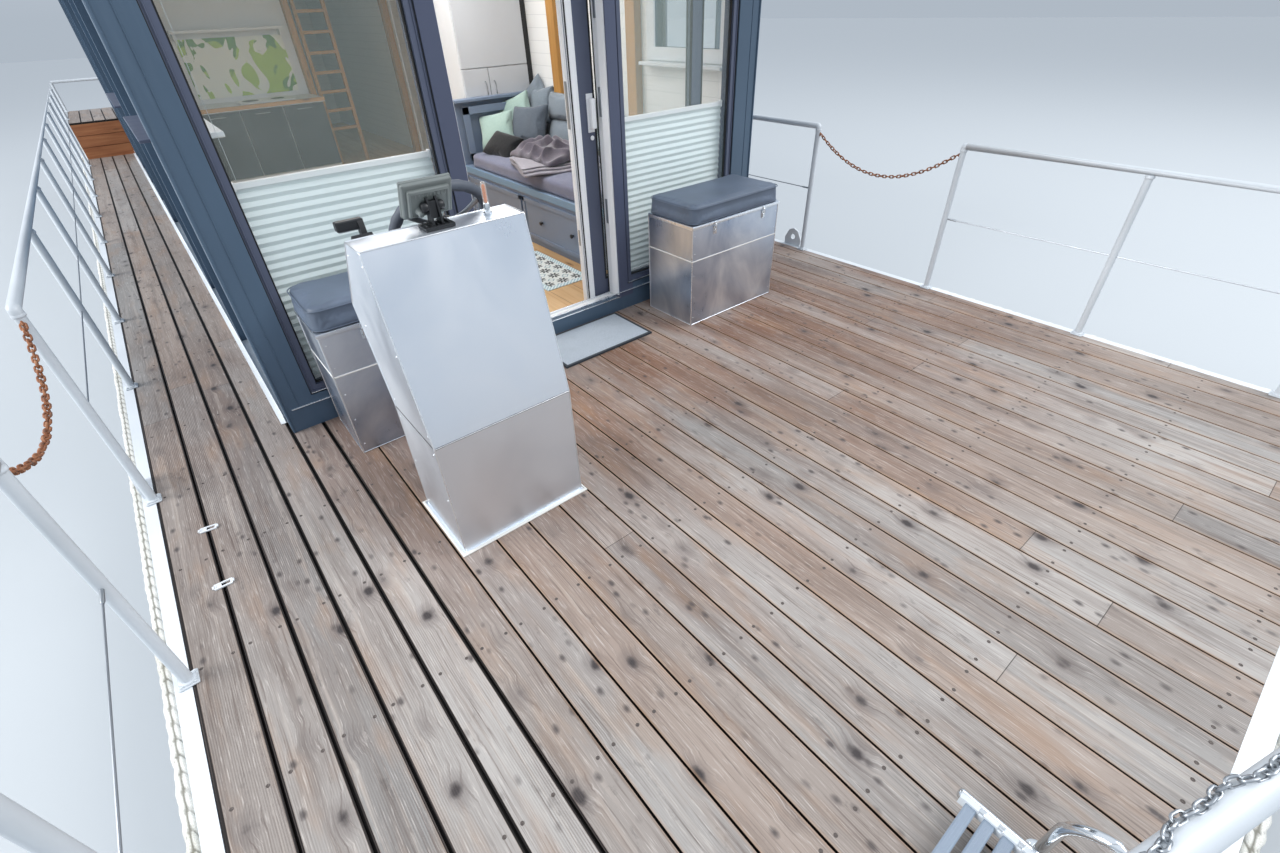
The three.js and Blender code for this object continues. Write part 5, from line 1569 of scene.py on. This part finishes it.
def makeSideCasings():
    # outer casing, seal and inner casing round each side window, a
    # sill below it, and an outer and inner casing round the aft one
    casings, seals, whites = [], [], []
    for side in (-1, 1):
        for x, wide, z0, z1 in sideWindows:
            x0, x1 = x - wide / 2, x + wide / 2
            casings.append(sideLoop(side * (outside["wall"] + 8), x0 + 6, x1 - 6, z0 + 6, z1 - 6,
                                    [(-36, -9), (36, -9), (36, 6), (28, 10), (-28, 10), (-36, 6)]))
            casings.append(block((x0 - 50, side * (1688 if side > 0 else 1712), z0 - 46),
                                 (x1 + 50, side * (1712 if side > 0 else 1628), z0 - 34), 3))
            seals.append(sideLoop(side * (outside["wall"] - 14), x0 + 36, x1 - 36, z0 + 36, z1 - 36,
                                  oblong(7, 10)))
            whites.append(sideLoop(side * (outside["inner"] - 6), x0 + 8, x1 - 8, z0 + 8, z1 - 8,
                                   [(-40, -7), (40, -7), (40, 7), (30, 10), (-30, 10), (-40, 7)]))
            whites.append(block((x0 - 40, side * (outside["inner"] - 0.5), z0 - 62),
                                (x1 + 40, side * (outside["inner"] - 92), z0 - 40), 5))
    y0, y1, z0, z1 = -600, 600, 2340, 3130
    casings.append(windowLoop(-13338, y0 + 6, y1 - 6, z0 + 6, z1 - 6, oblong(36, 8)))
    whites.append(windowLoop(-13224, y0 + 8, y1 - 8, z0 + 8, z1 - 8, oblong(40, 7)))
    piece("side_casings", casings, "windowPaint")
    piece("side_seals", seals, "rubber")
    piece("inner_casings", whites, "board")


def makeTrims():
    # white foot strips along the walls, corner posts with three ribs, and ribs along the walls
    face, foot, head, aft, fore = (outside[key] for key in ("face", "foot", "head", "aft", "fore"))
    feet = []
    for side in (-1, 1):
        feet.append(block((aft, side * 1684, 1041), (fore, side * 1680, 1088), 1.5))
        feet.append(block((aft, side * 1630, 1040.6), (fore, side * 1706, 1044), 1))
    piece("foot_strips", feet, "fascia")
    ribs = []
    for side in (-1, 1):
        for x in (-3575, -3625, -3690, -3770):
            ribs.append(block((x - 7, side * face, foot), (x + 7, side * (face + 40), head), 3))
        for x in np.arange(-13300, -3600, 295.0):
            if min(abs(x - w[0]) - w[1] / 2 for w in sideWindows) > 60:
                ribs.append(block((x - 9, side * face, foot), (x + 9, side * (face + 12), head), 3))
    for y in np.arange(-1450, 1500, 290.0):
        if abs(y) > 660:
            ribs.append(block((-13342, y - 9, 1545), (-13329, y + 9, head), 3))
    piece("wall_ribs", ribs, "walls")
    # front plate: a raised welt down both outer edges and a thinner one inside each
    welts = [block((-3433, side * 1669 - 5, 1042), (-3424, side * 1669 + 5, head), 3) for side in (-1, 1)]
    welts += [block((-3433, side * 1604 - 2, 1180), (-3428, side * 1604 + 2, 3360), 1.5) for side in (-1, 1)]
    piece("front_welts", welts, "walls")


roof = {"x": (-13430, -3231), "eave": 3430.3, "crown": 3500.3, "half": 1769, "seam": 580}


def roofHeight(y):
    # straight falls from the crown to the eaves
    return roof["crown"] - (roof["crown"] - roof["eave"]) * np.abs(y) / roof["half"]


def makeRoof():
    # bars across at the seam pitch that follow the fall, a ridge cap, and edge trims
    seams = []
    y = np.array([-roof["half"] + 6, -900.0, 0.0, 900.0, roof["half"] - 6])
    for x in np.arange(roof["x"][0] + 250, roof["x"][1] - 60, roof["seam"]):
        line = np.stack([np.full(5, x), y, roofHeight(y) + 9], 1)
        seams.append(carry(line, [(-9, -10), (9, -10), (6, 8), (-6, 8)], up=(0, 0, 1)))
    ridge = carry([(roof["x"][0] + 10, 0, roof["crown"] + 2), (roof["x"][1] - 10, 0, roof["crown"] + 2)],
                  [(-80, -6), (0, 6), (80, -6), (80, -2), (0, 12), (-80, -2)])
    piece("roof_seams", [*seams, ridge], "roofTrim")
    edges = []
    for side in (-1, 1):
        edges.append(carry([(roof["x"][0], side * (roof["half"] + 3), 3402),
                            (roof["x"][1], side * (roof["half"] + 3), 3402)],
                           [(-5, -34), (5, -34), (7, -28), (7, 30), (-5, 34)]))
    for x in (roof["x"][0] - 3, roof["x"][1] + 3):
        y = np.array([-roof["half"], 0.0, roof["half"]])
        edges.append(carry(np.stack([np.full(3, x), y, roofHeight(y) - 28], 1),
                           [(-5, -34), (5, -34), (5, 32), (-5, 32)]))
    piece("roof_edges", edges, "walls")
    # two low ventilator hoods
    hood = [(95, -6), (95, 14), (60, 20), (56, 44), (118, 50), (122, 60), (96, 76), (40, 86), (0.5, 88)]
    vents = [turned(hood, (x, y, roofHeight(y)), sides=32) for x, y in ((-8200, 620), (-11600, -640))]
    piece("roof_vents", vents, "white", smooth=40)


makeSideCasings()
makeTrims()
makeRoof()
print("cabin outside made")


# furniture seen through the doorway and the glass

bed = {"x": (-6041, -3961), "face": 653, "top": 1560, "head": 2080, "wall": 1518, "mattress": (1560.3, 1680)}


def raised(low, high, rail, axis, proud):
    # a panel's four rails as blocks round its edge, reaching between
    # two places on the axis that its face looks along
    a, b = [k for k in range(3) if k != axis]
    parts = []
    for fixed in (a, b):
        for end in (0, 1):
            first, last = list(low), list(high)
            if end:
                first[fixed] = high[fixed] - rail
            else:
                last[fixed] = low[fixed] + rail
            first[axis], last[axis] = proud
            parts.append(block(first, last, 2))
    return parts


def makeBed():
    # drawer fronts with a raised frame, a rail along the top edge painted lighter as a highlight, panels in the
    # head, round dark knobs
    x0, x1 = bed["x"]
    face = bed["face"]
    middle = (x0 + x1) / 2
    drawers = ((x0 + 40, middle - 14), (middle + 14, x1 - 40))
    fronts = [block((a, face - 9, 1150), (b, face - 0.5, 1478), 3) for a, b in drawers]
    for a, b in drawers:
        fronts += raised((a, 0, 1150), (b, 0, 1478), 34, 1, (face - 17, face - 8))
    head = raised((x0 + 52, 700, 1600), (x0 + 52, 1480, 2040), 60, 0, (x0 + 51, x0 + 62))
    cap = block((x0 - 12, face - 14, bed["head"] - 4), (x0 + 66, bed["wall"] - 3, bed["head"] + 22), 6)
    piece("bed_fronts", [*fronts, *head, cap], "bed")
    # the rail's lighter blue is a painted highlight on the bed's top edge
    rail = block((x0 + 10, face - 12, bed["top"] - 52), (x1 + 6, face - 0.4, bed["top"] + 6), 5)
    end = block((x1 - 0.4, face - 12, bed["top"] - 52), (x1 + 8, bed["wall"] - 3, bed["top"] + 6), 4)
    piece("bed_rail", [rail, end], "bedEdge")
    knob = turned([(7, 0), (7, 8), (15, 15), (17, 22), (12, 29), (0.6, 31)], (0, 0, 0), (0, -1, 0), 20)
    piece("bed_knobs", copies(knob, [(x, face - 9, 1316) for x in (-5740, -5280, -4700, -4250)]), "black",
          smooth=50)


makeBed()

pad = {"cell": 11.0, "pressure": 3.4, "frames": 16, "cap": 0.014}
mattress = {"corner": 90, "cell": 19.0, "pressure": 2.6, "frames": 14, "cap": 0.012, "pin": 0.02}


def pillowForm(centre, wide, high, thick, yaw, lean, roll):
    # half thickness = thick/2 * ((1-|u|^3)(1-|v|^3))^0.45, sides pulled in by 5% between the corners;
    # it faces -y, turned by yaw about z, leant back by lean and rolled in its own plane
    u, v = np.meshgrid(np.linspace(-1, 1, 25), np.linspace(-1, 1, 25), indexing="ij")
    half = thick / 2 * ((1 - np.abs(u) ** 3) * (1 - np.abs(v) ** 3)) ** 0.45 + 3
    a = wide / 2 * u * (1 - 0.07 * (1 - v ** 2))
    b = high / 2 * v * (1 - 0.07 * (1 - u ** 2))
    yaw, lean, roll = (math.radians(k) for k in (yaw, lean, roll))
    out = np.array((math.sin(yaw) * math.cos(lean), -math.cos(yaw) * math.cos(lean), math.sin(lean)))
    right = np.array((math.cos(yaw), math.sin(yaw), 0))
    up = np.cross(out, right) * -1
    up = up if up[2] > 0 else -up
    right, up = right * math.cos(roll) + up * math.sin(roll), up * math.cos(roll) - right * math.sin(roll)
    flat = a[..., None] * right + b[..., None] * up
    return shell(flat + half[..., None] * out + centre, flat - half[..., None] * out + centre)


def makePad(name, finish, *shape):
    # a pillow form blown up a little
    made = piece(name, pillowForm(*shape), finish, smooth=180)
    bounded(made, pad)


# name, cloth, middle, wide, high, thick, yaw, lean, roll
pads = [
    ("back_pad_low", "padGrey", (-5290, 1392, 1800), 690, 235, 170, 0, 16, 0),
    ("back_pad_high", "padGrey", (-5330, 1428, 2012), 700, 255, 130, 0, 12, 1),
    ("back_pad_fore", "padGrey", (-4600, 1420, 1872), 640, 360, 130, 0, 14, -2),
    ("back_pad_aft", "padGrey", (-5800, 1428, 1990), 330, 330, 130, 4, 12, 6),
    ("back_pad_point", "padGrey", (-5925, 1440, 2030), 330, 330, 95, 8, 10, 40),
    ("pillow_grey", "padDark", (-5690, 1190, 1862), 420, 380, 130, 18, 28, 5),
    ("pillow_mint", "padMint", (-5880, 960, 1838), 350, 310, 115, 38, 30, 12),
    ("pillow_mint_back", "padMint", (-5940, 1215, 1942), 350, 320, 100, 40, 22, 20),
    ("pad_black", "padBlack", (-5640, 872, 1748), 350, 260, 100, 24, 52, -12),
]
for row in pads:
    makePad(*row)


def makeMattress():
    # a soft box the size of the bed within its ends
    x0, x1 = bed["x"]
    low, high = bed["mattress"]
    made = piece("mattress_pad", softBox((x0 + 75, bed["face"] + 14, low + 1),
                                         (x1 - 16, bed["wall"] - 12, high - 10), mattress["corner"]), "sheet",
                 smooth=180, replaces="mattress")
    bounded(made, mattress)


makeMattress()


def clothShell(grid, thick):
    # the grid and its copy set back by thick along the grid's own normals, joined round the edge
    du, dv = np.gradient(grid, axis=0), np.gradient(grid, axis=1)
    normal = np.cross(du, dv)
    normal /= np.maximum(np.linalg.norm(normal, axis=-1, keepdims=True), 1e-9)
    return shell(grid, grid - normal * thick)


throws = {"thick": 3.0, "bedTop": 1684, "folds": 5, "gap": 11.0, "length": 560.0, "width": 620,
          "corner": (-5260, 720), "turn": -18, "heap": (-5010, 985, 1748), "half": (310, 230), "rise": 95,
          "ridges": 9}


def makeThrows():
    # the light one is folded to and fro: a line with rounded turns, carried across its width with slow waves
    folds, gap, length = throws["folds"], throws["gap"], throws["length"]
    line = []
    for k in range(folds):
        reach = length - 14 * k
        ends = (0.0, reach) if k % 2 == 0 else (reach, 0.0)
        z = k * gap
        line += [(ends[0] + (ends[1] - ends[0]) * t, z + 4.5 * math.sin(7 * t + k * 1.3))
                 for t in np.linspace(0.02, 0.98, 26)]
        if k < folds - 1:
            side = 1 if k % 2 == 0 else -1
            line += [(ends[1] + side * gap * 0.5 * math.sin(a), z + gap * 0.5 - gap * 0.5 * math.cos(a))
                     for a in (0.5, 1.1, 1.6, 2.1, 2.6)]
    line = np.array(line)
    across = np.linspace(0, throws["width"], 40)
    turn = math.radians(throws["turn"])
    x, y = throws["corner"]
    u, rise = line[:, :1] + 0 * across, line[:, 1:]
    v = across[None, :] * (1 + 0.03 * np.sin(rise / 9))
    hump = 9 * np.exp(-((u - 300) / 180) ** 2) * (1 + np.sin(v / 90))
    z = throws["bedTop"] + rise + hump + 2.5 * np.sin(v / 41 + u / 130)
    grid = np.stack([x + u * math.cos(turn) - v * math.sin(turn), y + u * math.sin(turn) + v * math.cos(turn),
                     z], -1)
    light = piece("throw_light", clothShell(grid, throws["thick"]), "throwLight", smooth=180)
    # the dark one is heaped: a low mound with long soft ridges that lean over
    rng = np.random.default_rng(11)
    n, m = 90, 70
    s, t = np.meshgrid(np.linspace(-1, 1, n), np.linspace(-1, 1, m), indexing="ij")
    edge = np.clip(1 - s ** 2, 0, 1) ** 0.5 * np.clip(1 - t ** 2, 0, 1) ** 0.5
    height = throws["rise"] * np.clip(edge, 0, 1) ** 0.6
    x, y = throws["half"][0] * s, throws["half"][1] * t
    for _ in range(throws["ridges"]):
        a, k, ph, amp = rng.uniform(-0.9, 0.5), rng.uniform(11, 19), rng.uniform(0, 6.3), rng.uniform(5, 11)
        q = s * math.cos(a) + t * math.sin(a) * 0.8
        height = height + amp * np.sin(k * q + ph + 1.4 * np.sin(2.2 * t + ph)) * np.clip(edge * 1.6, 0, 1)
        x = x + amp * 0.5 * np.cos(k * q + ph) * math.cos(a)
        y = y + amp * 0.5 * np.cos(k * q + ph) * math.sin(a)
    x0, y0, z0 = throws["heap"]
    low = z0 - 28 * np.clip(np.hypot(s, t) - 0.7, 0, 1)
    heap = np.stack([x0 + x, y0 + y, low + height], -1)
    dark = piece("throw_dark", clothShell(heap, throws["thick"]), "throw", smooth=180)


makeThrows()
print("bed made")

cupboard = {"x": (-6641, -6071), "y": (793, 1518), "z": (1100, 3100), "split": 2317, "divide": 1048}


def handle(a, b, out):
    # a bow handle between two points standing off its door by out
    a, b, out = (np.asarray(k, float) for k in (a, b, out))
    return pipe([a, a + out * 0.8, a + out + (b - a) * 0.12, b + out - (b - a) * 0.12, b + out * 0.8, b], 4.5,
                10, 10)


def makeCupboard():
    # one door above two, a cover board on top, bow grips, and a black block in the gap at the wall as painted
    # shade
    face = cupboard["x"][1]
    y0, y1 = cupboard["y"]
    doors = [block((face + 0.5, y0 + 6, cupboard["split"] + 4), (face + 18, y1 - 60, 3080), 3),
             block((face + 0.5, y0 + 6, 1180), (face + 18, cupboard["divide"] - 3, cupboard["split"] - 4), 3),
             block((face + 0.5, cupboard["divide"] + 3, 1180), (face + 18, y1 - 60, cupboard["split"] - 4), 3)]
    top = block((cupboard["x"][0], y0 - 6, 3100.5), (face + 26, y1 - 44, 3124), 3)
    piece("cupboard_doors", [*doors, top], "cupboard")
    grips = [handle((face + 18, ya, za), (face + 18, yb, zb), (26, 0, 0))
             for ya, za, yb, zb in ((y0 + 90, 3000, y0 + 210, 3000),
                                    (cupboard["divide"] - 46, 2210, cupboard["divide"] - 46, 2090),
                                    (cupboard["divide"] + 46, 2210, cupboard["divide"] + 46, 2090))]
    piece("cupboard_grips", grips, "dullSteel", smooth=50)
    # a black block in the gap between the doors and the wall: painted shade
    shadow = block((face + 0.2, y1 - 54, 1120), (face + 6, y1 - 4, 3090), 1)
    piece("cupboard_gap_shadow", shadow, "black")


makeCupboard()


def makePosts():
    # timber posts on both walls, a timber frame round the way aft
    posts = [block((x - 55, side * 1452, 1104), (x + 55, side * 1518, 3368), 4)
             for x, side in ((-5563, 1), (-4480, 1), (-5563, -1), (-7600, -1))]
    piece("wall_posts", posts, "postWood")
    doorway = [block((-9586, 300.5, 1102), (-9480, 366, 3368), 4),
               block((-9586, 1440, 1102), (-9480, 1517, 3368), 4),
               block((-9586, 366, 3200), (-9480, 1440, 3300), 4)]
    rungs = [block((-9560, 420, z), (-9522, 760, z + 36), 5) for z in range(1500, 3100, 210)]
    rungs += [block((-9566, y, 1104), (-9516, y + 42, 3150), 5) for y in (398, 742)]
    piece("aft_frame", [*doorway, *rungs], "postWood")


makePosts()

kitchen = {"x": (-9581, -9041), "y": (-1518, 300), "top": 1940}


def makeKitchen():
    # worktop slab with a rounded nose, dark doors below, a white hob, a shelf and a board painted with leaves
    # above it
    x1 = kitchen["x"][1]
    y0, y1 = kitchen["y"]
    top = kitchen["top"]
    piece("worktop_nose", block((x1 + 1, y0 + 4, top - 34), (-8996, y1 + 24, top + 4), 8), "worktop", smooth=40)
    doors = [block((x1 + 0.5, y, 1210), (x1 + 18, y + 445, 1890), 3) for y in np.linspace(y0 + 8, y1 - 449, 4)]
    piece("kitchen_doors", doors, "darkFront")
    grips = [handle((x1 + 18, y + 300, 1850), (x1 + 18, y + 140, 1850), (24, 0, 0))
             for y in np.linspace(y0 + 8, y1 - 449, 4)]
    piece("kitchen_grips", grips, "dullSteel", smooth=50)
    hob = block((-9460, -560, 1941), (-9100, 30, 1956), 6)
    shelf = [block((-9580, -927, 2622), (-9400, 211, 2650), 3)]
    shelf += [block((-9580, y, 2560), (-9430, y + 20, 2624), 2) for y in (-900, 165)]
    panel = block((-9580, -879, 1990), (-9568, 196, 2567), 2)
    piece("kitchen_whites", [hob, *shelf], "board")
    piece("kitchen_panel", panel, "leafPanel")
    rings = [turned([(r - 3, 0), (r, 0), (r, 2), (r - 3, 2)], (-9280, y, 1955.5), sides=40)
             for y, r in ((-420, 90), (-130, 72))]
    piece("hob_rings", rings, "black", smooth=40)
    spout = pipe([(-9480, -1000, 1941), (-9480, -1000, 2190), (-9440, -1000, 2230), (-9330, -1000, 2210),
                  (-9310, -1000, 2150)], 10, 26, 14)
    foot = turned([(24, 0), (22, 10), (12, 14)], (-9480, -1000, 1941), sides=20)
    lever = pipe([(-9480, -985, 2000), (-9440, -930, 2040)], 6, sides=10)
    piece("kitchen_tap", [spout, foot, lever], "chrome", smooth=50)


makeKitchen()

rug = {"low": (-4711, 180), "high": (-3931, 560), "thick": 3.6, "top": 1105.6, "points": (60, 32)}


def makeRug():
    # a flat grid with slow waves of 0.8 mm, its rim 1.2 mm lower
    x, y = (np.linspace(rug["low"][k], rug["high"][k], rug["points"][k]) for k in (0, 1))
    grid = np.stack([*np.meshgrid(x, y, indexing="ij"), np.full(rug["points"], rug["top"])], -1)
    sides = (0, x[0]), (0, x[-1]), (1, y[0]), (1, y[-1])
    edge = np.minimum.reduce([np.abs(grid[..., axis] - k) for axis, k in sides])
    grid[..., 2] += 0.8 * np.sin(grid[..., 0] / 97) * np.sin(grid[..., 1] / 61) - 1.2 * (edge < 4)
    cloth = piece("floor_rug", clothShell(grid, rug["thick"]), "rug", smooth=60)


makeRug()
print("inside made")


# outboard at the stern: cowl, leg and propeller

motor = {"hub": (-15892, 170), "tip": 118, "blades": 3, "pitch": 190, "cowl": -15755, "hood": (1006, 230)}


def rounded(rx, ry, z, lift=0.0):
    # a superellipse ring |x / rx|^3.2 + |y / ry|^3.2 = 1 about the cowl's
    # middle at height z, its fore side lifted by lift
    a = np.arange(40) / 40 * 2 * np.pi
    c, s = np.cos(a), np.sin(a)
    x = np.sign(c) * np.abs(c) ** (2 / 3.2) * rx
    y = np.sign(s) * np.abs(s) ** (2 / 3.2) * ry
    return np.stack([motor["cowl"] + x, y, z + lift * x / rx], 1)


def foilRing(z, fore, aft, half):
    # a leaf shape: half width = half * sqrt of sine from nose to tail
    t = np.arange(16) / 16
    x = fore + (aft - fore) * (0.5 - 0.5 * np.cos(np.pi * t))
    y = half * np.sin(np.pi * t) ** 0.75 * (1.15 - 0.35 * t)
    return np.concatenate([np.stack([x, y, np.full_like(x, z)], 1),
                           np.stack([fore + aft - x, -half * np.sin(np.pi * t) ** 0.75 * (0.8 + 0.35 * t),
                                     np.full_like(x, z)], 1)])


def makeCowl():
    # upper hood in one loft with a seam, a lower pan, a grip at the back and louvres at the sides
    c = motor["cowl"]
    hood = ((1006, 178, 138), (1012, 182, 141), (1060, 184, 142), (1120, 178, 138), (1170, 166, 130),
            (1205, 148, 118), (1226, 118, 96), (1234, 70, 58), (1236, 10, 8))
    top = ringLoft([rounded(rx, ry, z, -7 * (z - motor["hood"][0]) / motor["hood"][1]) for z, rx, ry in hood])
    pan = [(889, 96, 92), (893, 110, 104), (930, 150, 124), (975, 172, 135), (996, 176, 137), (1001, 176, 137)]
    low = ringLoft([rounded(rx, ry, z) for z, rx, ry in pan])
    piece("cowl_hood", top, "cowl", "motor", smooth=50, replaces="outboard_cowl")
    louvres = [block((c - 110 + 26 * k, side * 132 - 6, 1082), (c - 98 + 26 * k, side * 132 + 8, 1142), 3)
               for k in range(7) for side in (-1, 1)]
    grip = pipe([(c - 168, -44, 1030), (c - 186, -44, 1030), (c - 186, 44, 1030), (c - 168, 44, 1030)], 8, 10,
                12)
    seam = carry(rounded(177, 137.5, 1003.5), oblong(2, 3), closed=True)
    latch = block((c - 14, -146, 984), (c + 14, -132, 1028), 4)
    piece("cowl_pan", [low, *louvres, grip, seam, latch], "black", "motor", smooth=50)


def makeLeg():
    # midsection, spray plate, leaf-shaped strut, plate over the screw, bullet gearcase and skeg
    c = motor["hub"][0]
    # the strut narrows behind the swivel so that it turns clear, and two yokes reach round the steering neck
    strut = ringLoft([foilRing(z, f, a, h) for z, f, a, h in ((890, -15698, -15850, 70),
                                                              (848, -15700, -15852, 58),
                                                              (834, -15726, -15856, 32),
                                                              (700, -15726, -15860, 32),
                                                              (590, -15726, -15862, 34),
                                                              (572, -15718, -15864, 38),
                                                              (500, -15722, -15868, 40),
                                                              (330, -15734, -15884, 36),
                                                              (240, -15742, -15890, 30),
                                                              (196, -15750, -15892, 24))])
    yokes = [block((x0, y0, low), (x1, y1, high), 4) for low, high in ((540, 585), (835, 876))
             for x0, y0, x1, y1 in ((-15770, -45, -15688, 45), (-15632, -45, -15618, 45),
                                    (-15692, 27, -15628, 45), (-15692, -45, -15628, -27))]
    plate = ringLoft([foilRing(z, -15700, -16010, h) for z, h in ((289, 66), (291, 74), (301, 74), (303, 66))])
    spray = ringLoft([foilRing(z, -15694, -15960, h) for z, h in ((388, 74), (390, 82), (398, 82), (400, 74))])
    case = turned([(1, 178), (16, 172), (31, 150), (40, 110), (43, 60), (42, 20), (38, 2), (34, -2)],
                  (c + 3, 0, motor["hub"][1]), (1, 0, 0), 32)
    skeg = ringLoft([foilRing(z, f, a, h) for z, f, a, h in ((150, -15752, -15880, 9),
                                                             (100, -15778, -15886, 6.5),
                                                             (60, -15806, -15890, 5), (40, -15826, -15888, 2))])
    intake = [block((-15800 + 12 * k, side * 34 - 4, 226), (-15794 + 12 * k, side * 34 + 4, 262), 1.5)
              for k in range(5) for side in (-1, 1)]
    piece("motor_leg", [strut, plate, spray, case, skeg, *yokes, *intake], "cowl", "motor", smooth=50,
          replaces="outboard_leg")


def makeScrew():
    # hub, then three blades: at radius r the chord lies at the pitch angle
    # atan(p / (2 pi r)), raked back, thin to the edges
    c, z = motor["hub"]
    hub = turned([(30, 0), (33, -3), (33, -46), (28, -58), (14, -62), (0.6, -63)], (c, 0, z), (1, 0, 0), 28)
    parts = [hub]
    r = np.linspace(26, motor["tip"], 12)
    t = np.linspace(-1, 1, 13)
    for k in range(motor["blades"]):
        a0 = k * 2 * math.pi / motor["blades"] + 0.35
        s = (r - r[0]) / (r[-1] - r[0])
        chord = 62 * (1 + 1.5 * s - 2.35 * s ** 2.4) + 6
        pitch = np.arctan2(motor["pitch"], 2 * np.pi * r)
        angle = a0 + (t[None] * (chord / 2)[:, None]
                      * np.cos(pitch)[:, None]) / r[:, None] + 0.25 * s[:, None] ** 2
        x = c - 30 - 10 * s[:, None] + t[None] * (chord / 2)[:, None] * np.sin(pitch)[:, None]
        x = np.clip(x, c - 66, c - 4)
        surface = np.stack([x, r[:, None] * np.cos(angle), z + r[:, None] * np.sin(angle)], -1)
        thick = (3.2 * (1 - 0.6 * s))[:, None] * np.clip(1 - t[None] ** 2, 0.12, 1) ** 0.5
        back = surface + thick[..., None] * (1, 0, 0)
        parts.append(shell(surface, back))
    piece("screw_blades", parts, "dullSteel", "screw", smooth=50, replaces="propeller")


makeCowl()
makeLeg()
makeScrew()
print("outboard made")
